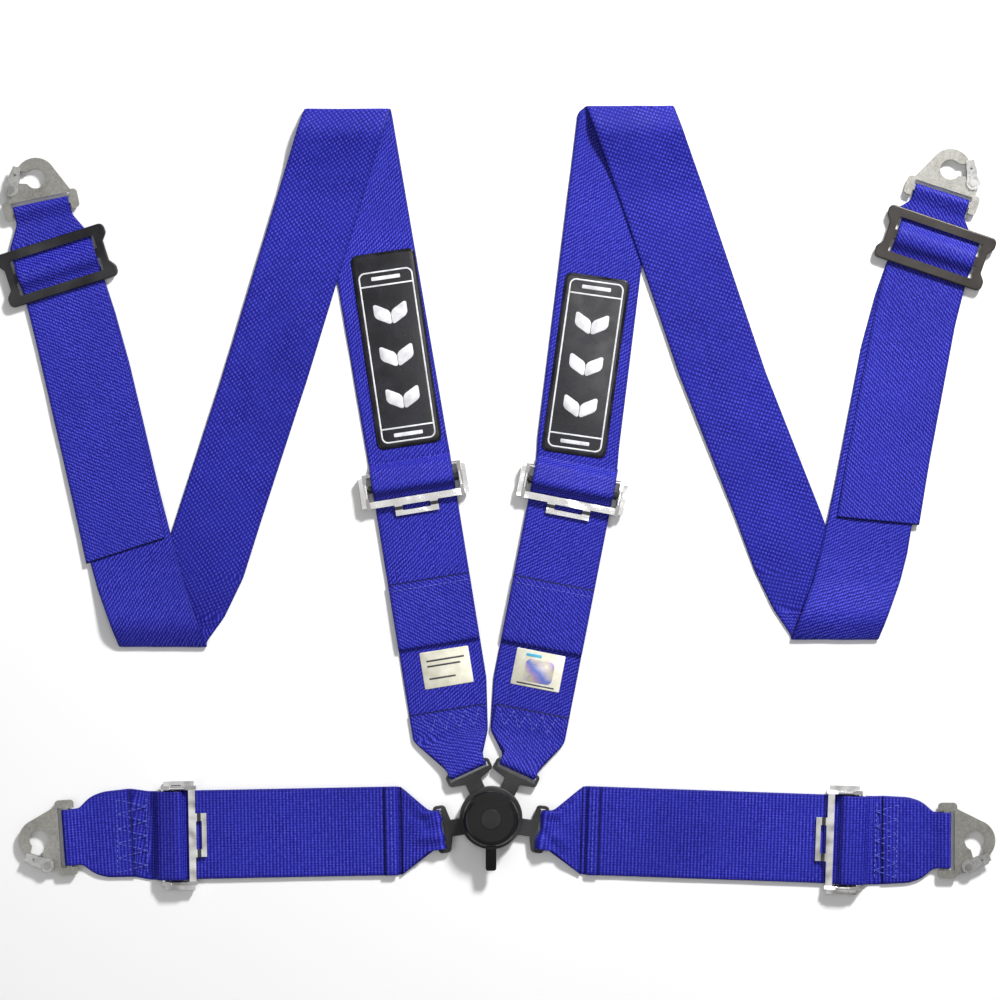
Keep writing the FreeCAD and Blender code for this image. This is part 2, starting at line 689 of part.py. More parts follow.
def make_gate_spring(strap):
    """Torsion spring: one coil round the rivet and a leg along the gate."""
    name = f"{strap}_gate_spring"
    height = (size.hook_height + size.hook_thickness / 2 + size.leaf_high) / 2
    coil = doc.addObject("Part::Torus", f"{name}_coil")
    coil.setExpression("Radius1", size.gate_spring_radius.formula)
    coil.setExpression("Radius2", size.gate_spring_wire.formula)
    leg = doc.addObject("Part::Cylinder", f"{name}_leg")
    leg.setExpression("Radius", size.gate_spring_wire.formula)
    leg.setExpression("Height", size.gate_spring_leg.formula)
    inner = -(size.gate_spring_radius * size.of(strap, "throat")).number
    leg.Placement = Placement(Vector(0, inner, 0), Rotation(Vector(0, 1, 0), 90))
    spring = doc.addObject("Part::MultiFuse", name)
    spring.Label = name
    spring.Shapes = [coil, leg]
    lift = Placement(Vector(0, 0, height.number), Rotation())
    spring.Placement = gate_placement(strap) * lift
    doc.recompute()
    return spring


def adjuster_frame_of(strap):
    return facing(size.of(strap, "heading").number, point_of(strap, "adjuster"))


def make_adjuster_frame(strap):
    """Frame with two cheeks, an anchor bar, a front bar and a bent lifting tab."""
    body = new_body(f"{strap}_adjuster_frame", adjuster_frame_of(strap))
    outer = size.cheek_inner + size.cheek_thickness
    add_cross_bar(body, size.anchor_x, size.anchor_height, size.anchor_radius, outer)
    cheek = [
        (size.anchor_x, size.cheek_bottom), (size.anchor_x + 3, size.anchor_height),
        (size.anchor_x + 1.6, size.cheek_shoulder), (size.cheek_crest_back, size.cheek_top),
        (-size.cheek_crest_front, size.cheek_top), (-size.cheek_front, size.cheek_shoulder),
        (-size.cheek_front, size.cheek_front_low), (-size.cheek_crest_front, size.cheek_bottom),
    ]
    lip = [
        (size.anchor_x - 1, size.lip_bottom), (size.anchor_x - 1, size.lip_top),
        (-size.cheek_front + 2, size.lip_top), (-size.cheek_front + 2, size.lip_bottom + 2),
        (-size.cheek_crest_front, size.lip_bottom),
    ]
    for side in (1, -1):
        for corners, start, depth in ((cheek, size.cheek_inner, size.cheek_thickness),
                                      (lip, outer - 0.2, size.cheek_lip)):
            sketch = new_sketch(body, "XZ_Plane", height=start * side)
            add_polygon(sketch, corners)
            pad(body, sketch, depth, backwards=side < 0)
    end = new_sketch(body, "XZ_Plane")
    add_polygon(end, rectangle(-size.slide_bar_x - size.guide_half_length,
                               -size.slide_bar_x + size.guide_half_length,
                               size.slide_bar_height - size.guide_half_height,
                               size.slide_bar_height + size.guide_half_height))
    cut_through(body, end)
    bar = new_sketch(body, "XZ_Plane")
    add_polygon(bar, rectangle(-size.front_bar_end, -size.front_bar_start,
                               size.front_bar_bottom, size.front_bar_top))
    pad(body, bar, size.cheek_inner * 2 + 1, midplane=True)
    tab = new_sketch(body, "XZ_Plane")
    top, thick = size.front_bar_top, size.tab_thickness
    add_polygon(tab, [
        (-size.front_bar_start, top - thick), (-size.front_bar_start, top),
        (-size.tab_knee, top), (-size.tab_drop - 0.6, size.tab_low + thick),
        (-size.tab_end, size.tab_low + thick), (-size.tab_end, size.tab_low),
        (-size.tab_drop, size.tab_low), (-size.tab_knee + 0.6, top - thick),
    ])
    pad(body, tab, size.tab_half * 2, midplane=True)
    slot = new_sketch(body, "XY_Plane")
    add_polygon(slot, rectangle(-size.tab_slot_end, -size.tab_slot_start,
                                -size.tab_slot_half, size.tab_slot_half))
    cut_through(body, slot)
    crest = size.cheek_top.number
    round_edges(body, size.edge_round, lies_flat_at(crest))
    return body


def make_adjuster_bar(strap):
    """Knurled slide bar with plain journals that sit in the frame's guides."""
    body = new_body(f"{strap}_adjuster_bar", adjuster_frame_of(strap))
    flats = new_sketch(body, "XZ_Plane")
    corners = []
    for number in range(KNURL_FLATS):
        x, z = turned(size.slide_bar_radius, 0, as_quantity(360.0 / KNURL_FLATS * number))
        corners.append((x - size.slide_bar_x, z + size.slide_bar_height))
    add_polygon(flats, corners)
    pad(body, flats, size.slide_bar_half * 2, midplane=True)
    add_cross_bar(body, -size.slide_bar_x, size.slide_bar_height, size.journal_radius,
                  size.journal_half)
    return body


def make_slider(strap):
    """Three-bar slider: frame with waisted ends, a window and a centre bar."""
    placement = facing(size.of(strap, "slider_heading").number, point_of(strap, "slider"))
    body = new_body(f"{strap}_slider", placement)
    length, width, waist = size.slider_half_length, size.slider_half_width, size.slider_waist
    horn = size.slider_horn
    add_plate(body, [
        (-length, -width), (-horn, -width), (-horn * 0.6, -waist), (horn * 0.6, -waist),
        (horn, -width), (length, -width), (length, width), (horn, width),
        (horn * 0.6, waist), (-horn * 0.6, waist), (-horn, width), (-length, width),
    ], size.slider_bottom, size.slider_thickness)
    windows = new_sketch(body, "XY_Plane")
    inner, centre = length - size.slider_bar, size.slider_centre_half
    window = size.slider_window_half
    add_polygon(windows, rectangle(centre, inner, -window, window))
    add_polygon(windows, rectangle(-inner, -centre, -window, window))
    cut_through(body, windows)
    round_edges(body, size.slider_corner, lambda edge: is_upright(edge)
                and abs(edge.CenterOfMass.y) > width.number - 0.1)
    top = (size.slider_bottom + size.slider_thickness).number
    round_edges(body, size.slider_edge, lambda edge: lies_flat_at(top)(edge)
                and not is_inside_window(edge, inner.number, window.number))
    return body


def is_inside_window(edge, along, across):
    middle = edge.CenterOfMass
    return abs(middle.x) <= along + 0.1 and abs(middle.y) <= across + 0.1


# ---------------------------------------------------------------- webbing


def make_lower_webbing(strap):
    """Webbing sewn to the tongue at one end and to the adjuster's anchor bar at the other."""
    body = new_body(f"{strap}_webbing_lower", adjuster_frame_of(strap))
    bar_middle = (size.tongue_slot_end + size.head_end) / 2
    tongue = seen_from(strap, "adjuster", "heading", *tongue_point(strap, bar_middle))
    lean = size.of(strap, "tongue") - size.of(strap, "heading")
    half, end_half = strap_width(strap) / 2, size.tongue_end_width / 2
    full_x = -size.of(strap, "full_width_x")
    thick = size.webbing_thickness
    right = half - size.inner_trim * size.of(strap, "trim_right")
    left = half - size.inner_trim * size.of(strap, "trim_left")
    wide_x = full_x + size.inner_trim_length
    add_plate(body, [
        shifted(tongue, 0, -end_half, lean), (full_x, -right), (wide_x, -half),
        (size.anchor_x, -half), (size.anchor_x, half), (wide_x, half), (full_x, left),
        shifted(tongue, 0, end_half, lean),
    ], 0, thick)
    turned_back = size.of(strap, "turned_back")
    back_x = full_x + turned_back
    share = turned_back / size.inner_trim_length
    add_plate(body, [
        shifted(tongue, size.loop_inner + 0.5, -end_half, lean), (full_x, -right),
        (back_x, (right - half) * share - right), (back_x, (half - left) * share + left),
        (full_x, left), shifted(tongue, size.loop_inner + 0.5, end_half, lean),
    ], thick, thick)
    turn = turned_offset(tongue, lean)
    add_cross_bar(body, 0, size.loop_height, size.loop_outer, end_half, offset=turn)
    add_cross_bar(body, size.anchor_x, size.anchor_height, size.loop_outer, half)
    cut_cross_bore(body, 0, size.loop_height, size.loop_inner, offset=turn)
    cut_cross_bore(body, size.anchor_x, size.anchor_height, size.loop_inner)
    return body


def around(x, z, radius, eighths):
    """A point round a bar, at a number of eighths of a turn up from the hook side."""
    step_x, step_z = turned(radius, 0, as_quantity(45.0 * eighths))
    return as_quantity(x) + step_x, z + step_z


def make_tail_webbing(strap):
    """Main webbing over the anchor loop and the slide bar, then the free tail and its hem."""
    body = new_body(f"{strap}_webbing_tail", adjuster_frame_of(strap))
    thick, low = size.webbing_thickness, size.tail_height
    bar = (-size.slide_bar_x, size.slide_bar_height)
    anchor = (size.anchor_x, size.anchor_height)
    bar_under, bar_over = size.slide_bar_radius + 0.6, size.slide_bar_radius + 2.2
    loop_under, loop_over = size.loop_outer + 0.65, size.loop_outer + 2.3
    hem_x = -size.of(strap, "hem_x")
    hem_back = hem_x + size.of(strap, "hem_length")
    front = -size.front_bar_start + 1.2
    rise = size.webbing_rise_start
    under = [
        (hem_x, low), (front, low), around(*bar, bar_under, 4), around(*bar, bar_under, 3),
        around(*bar, bar_under, 2), around(*bar, bar_under, 1), around(*anchor, loop_under, 3),
        around(*anchor, loop_under, 2), around(*anchor, loop_under, 1),
        around(*anchor, loop_under, 0), (rise - 1.6, as_quantity(0)), (rise, as_quantity(0)),
    ]
    over = [
        (rise, thick), (rise - 1.0, thick), around(*anchor, loop_over, 0),
        around(*anchor, loop_over, 1), around(*anchor, loop_over, 2),
        around(*bar, bar_over, 1), around(*bar, bar_over, 2), around(*bar, bar_over, 3),
        around(*bar, bar_over, 4), (front - 0.6, low + thick), (hem_back, low + thick),
        (hem_back, low + thick * 2), (hem_x, low + thick * 2),
    ]
    sketch = new_sketch(body, "XZ_Plane")
    add_polygon(sketch, under + over)
    pad(body, sketch, strap_width(strap), midplane=True)
    return body


def hook_end_corners(strap, origin_key, heading_key, start_x, straight_x=None):
    """Outline of the webbing's narrowed end at the hook, seen from another frame."""
    hook = seen_from(strap, origin_key, heading_key,
                     size.of(strap, "hook_x"), size.of(strap, "hook_y"))
    lean = size.of(strap, "hook_heading") - size.of(strap, heading_key)
    half, end_half = strap_width(strap) / 2, size.hook_end_width / 2
    near = [(start_x, -half)]
    far = [(start_x, half)]
    if straight_x is not None:
        near.append((straight_x, -half))
        far.insert(0, (straight_x, half))
    straight = -size.taper_straight
    tip = [
        shifted(hook, straight, -end_half, lean), shifted(hook, 0, -end_half, lean),
        shifted(hook, 0, end_half, lean), shifted(hook, straight, end_half, lean),
    ]
    return near + tip + far, hook, lean


def finish_hook_loop(body, hook, lean):
    """Loop round the hook's base bar, with room for the bar to turn."""
    turn = turned_offset(hook, lean)
    half = size.hook_end_width / 2
    add_cross_bar(body, 0, size.hook_height, size.hook_loop_outer, half, offset=turn)
    cut_cross_bore(body, 0, size.hook_height, size.hook_loop_inner, offset=turn)


def make_lap_main_webbing(strap):
    body = new_body(f"{strap}_webbing_main", adjuster_frame_of(strap))
    rise, thick = size.webbing_rise_start, size.webbing_thickness
    hook = seen_from(strap, "adjuster", "heading",
                     size.of(strap, "hook_x"), size.of(strap, "hook_y"))
    straight_x = hook[0] - size.taper_straight - size.taper_length
    corners, hook, lean = hook_end_corners(strap, "adjuster", "heading", rise, straight_x)
    add_plate(body, corners, 0, thick)
    corners = hook_end_corners(strap, "adjuster", "heading", straight_x)[0]
    add_plate(body, corners, thick, thick)
    finish_hook_loop(body, hook, lean)
    return body


def make_inner_strand(strap):
    """Shoulder webbing from the adjuster up to the top fold."""
    heading = size.of(strap, "inner_heading")
    body = new_body(f"{strap}_webbing_inner",
                    facing(heading.number, point_of(strap, "adjuster")))
    half = size.shoulder_width / 2
    turn = size.of(strap, "heading") - heading
    start = size.webbing_rise_start / cosine(turn)
    rise = size.of(strap, "top_fold_y") - size.of(strap, "adjuster_y") - size.layer_gap
    length = rise / sine(heading)
    slant = half * tangent(as_quantity(90) - heading)
    near = half * tangent(turn)
    add_plate(body, [
        (start + near, -half), (length + slant, -half), (length - slant, half),
        (start - near, half),
    ], 0, size.webbing_thickness)
    return body


def make_outer_strand(strap):
    """Shoulder webbing from the top fold down to the bottom fold, on top of its neighbours."""
    body = new_body(f"{strap}_webbing_outer")
    top_y, low_y = size.of(strap, "top_fold_y"), size.of(strap, "bottom_fold_y")
    top_x, low_x = size.of(strap, "outer_top_x"), size.of(strap, "outer_bottom_x")
    slope = (top_x - low_x) / (top_y - low_y)
    half = size.shoulder_width / 2 * root(slope * slope + 1)
    thick, height = size.webbing_thickness, size.fold_height
    add_plate(body, [
        (low_x - half, low_y), (low_x + half, low_y), (top_x + half, top_y),
        (top_x - half, top_y),
    ], height, thick)
    for x, y_low, y_high in ((top_x, top_y, top_y + thick), (low_x, low_y - thick, low_y)):
        add_plate(body, rectangle(x - half, x + half, y_low, y_high), 0, height + thick)
    return body


def make_anchor_strand(strap):
    """Shoulder webbing from the bottom fold through the slider to the hook, and its tail."""
    placement = facing(size.of(strap, "slider_heading").number, point_of(strap, "slider"))
    body = new_body(f"{strap}_webbing_anchor", placement)
    half, thick = size.shoulder_width / 2, size.webbing_thickness
    both = thick * 2 + size.layer_gap
    fold_y = size.of(strap, "bottom_fold_y") + size.layer_gap
    fold_x = size.of(strap, "anchor_bottom_x")
    left = seen_from(strap, "slider", "slider_heading", fold_x - half, fold_y)
    right = seen_from(strap, "slider", "slider_heading", fold_x + half, fold_y)
    knee, flat = -size.anchor_knee, size.slider_bar + 8
    add_plate(body, [left, right, (knee, -half), (-flat, -half), (-flat, half), (knee, half)],
              0, thick)
    tail_x = -size.of(strap, "tail_end_x")
    share = (tail_x - knee) / (left[0] - knee)
    end_left = (tail_x, half + (left[1] - half) * share)
    end_right = (tail_x, (right[1] + half) * share - half)
    add_plate(body, [end_left, end_right, (knee, -half), (-flat, -half), (-flat, half),
                     (knee, half)], thick, thick + size.layer_gap)
    sketch = new_sketch(body, "XZ_Plane")
    crest = size.slider_bottom + size.slider_thickness + 0.3
    bar, foot = size.slider_centre_half + 0.6, size.slider_bar + 5.8
    add_polygon(sketch, [
        (-flat - 2, 0), (-foot, 0), (-bar, crest), (bar, crest), (foot, 0), (flat + 2, 0),
        (flat + 2, both), (foot + 1.6, both), (bar + 1, crest + both), (-bar - 1, crest + both),
        (-foot - 1.6, both), (-flat - 2, both),
    ])
    pad(body, sketch, size.shoulder_width, midplane=True)
    corners, hook, lean = hook_end_corners(strap, "slider", "slider_heading", flat + 1)
    add_plate(body, corners, 0, thick * 2)
    finish_hook_loop(body, hook, lean)
    return body


def make_badge(strap):
    placement = facing(size.of(strap, "badge_heading").number, point_of(strap, "badge"))
    body = new_body(f"{strap}_badge", placement)
    length, half = size.of(strap, "badge_length") / 2, size.badge_width / 2
    add_plate(body, rectangle(-length, length, -half, half),
              size.webbing_thickness + 0.05, size.badge_thickness)
    return body


def make_label(strap):
    body = new_body(f"{strap}_label",
                    facing(size.of(strap, "heading").number, point_of(strap, "label")))
    length, half = size.label_length / 2, size.label_width / 2
    add_plate(body, rectangle(-length, length, -half, half),
              size.webbing_thickness + 0.05, size.label_thickness)
    return body


# ---------------------------------------------------------------- the whole harness


def make_strap(strap):
    pieces = [
        make_tongue(strap), make_lower_webbing(strap), make_adjuster_frame(strap),
        make_adjuster_bar(strap), make_tail_webbing(strap), make_hook(strap),
        make_gate(strap), make_gate_rivet(strap), make_gate_spring(strap),
    ]
    if strap.startswith("lap"):
        return pieces + [make_lap_main_webbing(strap)]
    return pieces + [
        make_inner_strand(strap), make_outer_strand(strap), make_anchor_strand(strap),
        make_slider(strap), make_badge(strap), make_label(strap),
    ]


def make_buckle():
    return [
        make_buckle_base(), make_buckle_housing(), make_centre_post(), make_housing_screws(),
        make_lock_pins(), make_release_knob(), make_knob_cap(),
        make_spring("knob_spring", size.knob_spring_radius,
                    size.housing_top + 0.2, size.knob_hollow_top - 0.4),
        make_spring("pin_spring", size.pin_spring_radius,
                    size.carrier_top + 0.2, size.knob_hollow_top - 0.2),
    ]


def check(piece):
    """Stop if a piece or anything it is built from is broken."""
    parts = [piece] + list(piece.OutListRecursive)
    for item in parts:
        if "Invalid" in item.State or "Error" in item.State:
            raise RuntimeError(f"{item.Name} is not sound: {item.State}")
    if piece.Shape.isNull() or not piece.Shape.isValid():
        raise RuntimeError(f"{piece.Label} has no valid shape")


nodes = make_buckle()
for strap_name in STRAPS:
    nodes += make_strap(strap_name)
doc.recompute()
for node in nodes:
    check(node)
os.makedirs("parts", exist_ok=True)
for node in nodes:
    node.Shape.exportStep(f"parts/{node.Label}.step")
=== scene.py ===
import bpy
import math
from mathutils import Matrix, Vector, noise


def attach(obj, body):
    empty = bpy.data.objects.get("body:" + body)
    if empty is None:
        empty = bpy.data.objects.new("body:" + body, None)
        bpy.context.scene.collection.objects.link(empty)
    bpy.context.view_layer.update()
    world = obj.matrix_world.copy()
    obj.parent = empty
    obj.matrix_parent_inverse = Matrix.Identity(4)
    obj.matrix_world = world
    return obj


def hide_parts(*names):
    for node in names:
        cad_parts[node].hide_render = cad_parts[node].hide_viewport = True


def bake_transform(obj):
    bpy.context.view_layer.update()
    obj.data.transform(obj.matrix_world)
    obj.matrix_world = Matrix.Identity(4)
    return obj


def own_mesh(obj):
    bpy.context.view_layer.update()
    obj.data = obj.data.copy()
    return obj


# Racing harness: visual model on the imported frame. Lengths in this file are millimetres
# and angles degrees; MM turns lengths into Blender's metres.

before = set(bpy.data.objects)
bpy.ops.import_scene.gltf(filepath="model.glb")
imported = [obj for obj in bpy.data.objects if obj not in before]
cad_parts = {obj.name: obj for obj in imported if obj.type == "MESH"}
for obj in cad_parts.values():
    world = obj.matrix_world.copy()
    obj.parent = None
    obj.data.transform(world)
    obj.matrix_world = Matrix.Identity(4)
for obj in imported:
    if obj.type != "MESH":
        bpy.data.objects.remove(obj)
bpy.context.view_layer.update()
MM = 0.001

# ---------------------------------------------------------------- layout of the harness

# The webbing, its half width on each kind of strap and where it narrows for a fitting.
THICK = 1.5
SHOULDER_HALF = 36.75
LAP_HALF = 39.5
TONGUE_END_HALF = 17.5
HOOK_END_HALF = 25.0

# Heights of the webbing's middle: lying on the floor, and lying on another layer.
LYING = THICK / 2
ON_TOP = THICK * 1.6
TAIL_HEIGHT = 2.65
HEM_HEIGHT = 4.2

# Bars the webbing goes round, as distance along the strap and height, and the loops' radii.
TONGUE_BAR = (48.25, 4.1)
ANCHOR_BAR = (11.0, 4.1)
SLIDE_BAR = (-1.0, 8.3)
HOOK_BAR = (0, 4.4)
BAR_LOOP = 3.3
OUTER_ANCHOR_LOOP = 5.9
SLIDE_LOOP = 5.0
HOOK_LOOP = 3.7

# Before a hook the webbing keeps its end width for a while, and narrows over a length.
TAPER_STRAIGHT = 12.0
TAPER_LENGTH = 46.0

# A lap strap keeps its width until near the hook: distance back, share of the narrowing left.
LAP_END_PROFILE = ((-22.0, 0.92), (-12.0, 0.72), (-5.0, 0.40))

# How far past its folded corner the lower webbing settles to its full width.
SETTLING_LENGTH = 46

# Where the main webbing leaves the anchor loop, measured from the adjuster.
STRAP_START = 16.4

# How deep the bunched lap webbing beside the buckle sinks in its creases, and how far along.
LAP_CRUMPLE = 7.0
CRUMPLE_LENGTH = 55.0

# Length of the main strap from the adjuster to the bottom fold, where its back faces up.
BACK_LENGTH = 815.0

# How far back from the fold line, and how high, a folded strand's rows are.
FOLD_PROFILE = ((-1.5, 1.0), (-2.2, 2.0), (-1.0, 3.2), (3.0, 5.0), (8.0, 7.2), (13.0, 9.0),
                (18.0, 10.0), (24.0, 9.8), (34.0, 8.0), (50.0, 5.2), (75.0, 2.9))

# The outer strand before the bottom fold: distance from the fold line, height, and how far
# its middle has moved over towards the fold's own place.
OUTER_FOOT = ((110, 1.2, 0.0), (60, 0.9, 0.0), (25, 0.8, 0.4))

# Each strap's frame has x outwards along the strap, y across it and z up.
STRAPS = {
    "shoulder_left": dict(
        adjuster=(-69.6, 299.0), heading=99.2, tongue=115.0, tongue_from=(-1.0, 0.0),
        hook=(-400.9, 545.2), hook_heading=101.7, full_width_x=229.0, turned_back=24.0,
        trims=(6.2, 0.0), hem_x=147.0, hem_length=60.0, inner_heading=99.7,
        top_fold_y=630.5, outer_top_x=-128.6, bottom_fold_y=153.5, outer_bottom_x=-278.5,
        outer_middle_shift=1.5, bottom_fold_x=-293.0, anchor_bottom_x=-301.0, slider=(-387.0, 492.0),
        slider_heading=107.5, tail_end_x=262.0, tail_shift=5.0, tail_slant=-3.0,
        badge=(-84.8, 417.9), badge_heading=98.3, badge_length=175.0, label=(-39.7, 133.5),
        body="shoulder_left_strap",
    ),
    "shoulder_right": dict(
        adjuster=(73.0, 295.0), heading=78.9, tongue=65.0, tongue_from=(4.0, 0.0),
        hook=(401.7, 553.9), hook_heading=71.9, full_width_x=227.0, turned_back=24.0,
        trims=(0.0, 6.2), hem_x=147.0, hem_length=60.0, inner_heading=82.9,
        top_fold_y=633.0, outer_top_x=124.5, bottom_fold_y=160.0, outer_bottom_x=296.0,
        outer_middle_shift=-4.0, bottom_fold_x=307.0, anchor_bottom_x=318.0, slider=(396.0, 508.0),
        slider_heading=71.2, tail_end_x=250.0, tail_shift=-7.0, tail_slant=-3.5,
        badge=(84.4, 403.1), badge_heading=82.0, badge_length=161.0, label=(42.0, 131.3),
        body="shoulder_right_strap",
    ),
    "lap_left": dict(
        adjuster=(-281.0, -16.0), heading=181.1, tongue=188.0, tongue_from=(0.0, -4.5),
        hook=(-377.6, -18.0), hook_heading=184.0, full_width_x=201.0, turned_back=2.0,
        trims=(0.0, 0.0), hem_x=198.0, hem_length=12.0, body="buckle",
    ),
    "lap_right": dict(
        adjuster=(317.0, -20.0), heading=-2.0, tongue=-8.0, tongue_from=(0.0, -4.5),
        hook=(406.1, -20.5), hook_heading=0.0, full_width_x=236.0, turned_back=2.0,
        trims=(0.0, 0.0), hem_x=232.0, hem_length=12.0, body="lap_right_strap",
    ),
}
SHOULDERS = ("shoulder_left", "shoulder_right")
LAPS = ("lap_left", "lap_right")


def along(heading):
    return Vector((math.cos(math.radians(heading)), math.sin(math.radians(heading)), 0))


def across(heading):
    return Vector((-math.sin(math.radians(heading)), math.cos(math.radians(heading)), 0))


class Place:
    """A strap's frame: an origin on the floor and a heading."""

    def __init__(self, origin, heading):
        self.origin = Vector((origin[0], origin[1], 0))
        self.forward = along(heading)
        self.side = across(heading)
        self.heading = heading

    def at(self, x, y=0.0, z=0.0):
        return self.origin + self.forward * x + self.side * y + Vector((0, 0, z))

    def key(self, x, z, half, shift=0.0, skew=0.0):
        """A row of webbing: its centre, and the way from there to its left edge."""
        return self.at(x, shift, z), self.side * half + self.forward * skew


def half_width(strap):
    return SHOULDER_HALF if strap in SHOULDERS else LAP_HALF


def adjuster_place(strap):
    return Place(STRAPS[strap]["adjuster"], STRAPS[strap]["heading"])


def hook_place(strap):
    return Place(STRAPS[strap]["hook"], STRAPS[strap]["hook_heading"])


def tongue_place(strap):
    return Place(STRAPS[strap]["tongue_from"], STRAPS[strap]["tongue"])


# ---------------------------------------------------------------- meshes

def make_object(name, verts, faces, materials, face_materials=None, smooth=True):
    mesh = bpy.data.meshes.new(name)
    mesh.from_pydata([v * MM for v in verts], [], faces)
    for material in materials:
        mesh.materials.append(material)
    if face_materials:
        mesh.polygons.foreach_set("material_index", face_materials)
    if smooth:
        mesh.polygons.foreach_set("use_smooth", [True] * len(mesh.polygons))
    mesh.update()
    piece = bpy.data.objects.new(name, mesh)
    bpy.context.scene.collection.objects.link(piece)
    return piece


ROW_STEP = 1.6
SOFTEN_PASSES = 4


def resample(keys, step):
    """Rows about one step apart along a path of keys."""
    rows = []
    for (start, half_a), (end, half_b) in zip(keys, keys[1:]):
        count = max(1, round((end - start).length / step))
        for index in range(count):
            share = index / count
            rows.append((start.lerp(end, share), half_a.lerp(half_b, share)))
    rows.append(keys[-1])
    return rows


def soften(rows, passes):
    """Rounds a path's corners by averaging each row with its neighbours."""
    for _ in range(passes):
        inner = [
            (a[0] * 0.25 + b[0] * 0.5 + c[0] * 0.25, a[1] * 0.25 + b[1] * 0.5 + c[1] * 0.25)
            for a, b, c in zip(rows, rows[1:], rows[2:])
        ]
        rows = [rows[0]] + inner + [rows[-1]]
    return rows


# Places across the webbing, closer together towards its edges.
COLUMNS = [-1.0, -0.985, -0.94, -0.86, -0.72, -0.55, -0.36, -0.18, 0.0,
           0.18, 0.36, 0.55, 0.72, 0.86, 0.94, 0.985, 1.0]
EDGE_START = 0.94
EDGE_THICKNESS = 0.3


def selvedge(t):
    """Share of the full thickness at a place across the webbing."""
    edge = max(0.0, (abs(t) - EDGE_START) / (1 - EDGE_START))
    return math.sqrt(max(0.0, 1 - edge * edge)) * (1 - EDGE_THICKNESS) + EDGE_THICKNESS


def ripple_at(u, v, t, wave, seed):
    """Limp webbing: broad waves, and finer ones that grow towards its edges."""
    broad = noise.noise(Vector((u / 34, v / 22, seed))) * wave
    fine = noise.noise(Vector((u / 11, t * 1.2, seed + 7))) * wave * 0.25 * t * t
    return broad + fine


def crease_at(u, v, travelled, crumple, seed):
    """How deep bunched webbing sinks, strongest halfway along its crumpled length."""
    if not crumple or travelled >= CRUMPLE_LENGTH:
        return 0.0
    fade = math.sin(math.pi * travelled / CRUMPLE_LENGTH)
    return abs(noise.noise(Vector((u / 26, v / 11, seed + 2)))) * crumple * fade


def ribbon_faces(row_count, back_rows):
    """Both faces, both edges and both ends of a ribbon, and each face's material number."""
    faces, sides = [], []
    columns = len(COLUMNS)
    stride = columns * 2
    for row in range(row_count - 1):
        first = row * stride
        for column in range(columns - 1):
            a = first + column * 2
            b, c, d = a + 2, a + 2 + stride, a + stride
            faces += [(a, d, c, b), (a + 1, b + 1, c + 1, d + 1)]
            sides += [0, 1 if row < back_rows else 0]
        left, right = first, first + stride - 2
        faces.append((left, left + 1, left + stride + 1, left + stride))
        faces.append((right + stride, right + stride + 1, right + 1, right))
        sides += [0, 0]
    for column in range(columns - 1):
        a, b = column * 2, column * 2 + 2
        faces.append((b, b + 1, a + 1, a))
    for column in range(columns - 1):
        a = (row_count - 1) * stride + column * 2
        b = a + 2
        faces.append((a, a + 1, b + 1, b))
    sides += [0] * (2 * (columns - 1))
    return faces, sides


def ribbon(name, keys, face, back=None, back_length=0.0, wave=0.25, seed=0.0, crumple=0.0):
    """Webbing along a path of rows; its other face can differ over the first length."""
    rows = soften(resample(keys, ROW_STEP), SOFTEN_PASSES)
    verts, layout, travelled, back_rows = [], [], 0.0, 0
    for index, (centre, half) in enumerate(rows):
        before = rows[max(0, index - 1)][0]
        after = rows[min(len(rows) - 1, index + 1)][0]
        forward = (after - before).normalized()
        side = (half - forward * half.dot(forward)).normalized()
        normal = forward.cross(side)
        if index:
            travelled += (centre - rows[index - 1][0]).length
        if back and travelled < back_length:
            back_rows = index
        for t in COLUMNS:
            u = travelled + t * half.dot(forward)
            v = t * half.dot(side)
            ripple = ripple_at(u, v, t, wave, seed) - crease_at(u, v, travelled, crumple, seed)
            middle = centre + half * t + normal * ripple
            offset = normal * (LYING * selvedge(t))
            verts += [middle + offset, middle - offset]
            layout += [(u * MM, v * MM, abs(t), travelled * MM)] * 2
    faces, sides = ribbon_faces(len(rows), back_rows)
    piece = make_object(name, verts, faces, [face, back] if back else [face], sides)
    lay_out_weave(piece, layout, travelled * MM)
    return piece


def lay_out_weave(piece, layout, length):
    """Texture layers: place along and across the webbing; nearness to its edge and its end."""
    weave = piece.data.uv_layers.new(name="weave")
    edge = piece.data.uv_layers.new(name="edge")
    for loop in piece.data.loops:
        u, v, out, reached = layout[loop.vertex_index]
        weave.data[loop.index].uv = (u, v)
        edge.data[loop.index].uv = (out, min(reached, length - reached))


def half_turn(place, bar_x, bar_z, radius, start, end, half, shift=0.0, steps=9):
    """Rows round a bar, from one angle to another in the strap's upright plane."""
    keys = []
    for index in range(steps + 1):
        angle = math.radians(start + (end - start) * index / steps)
        keys.append(place.key(bar_x + radius * math.cos(angle),
                              bar_z + radius * math.sin(angle), half, shift))
    return keys


# ---------------------------------------------------------------- webbing paths

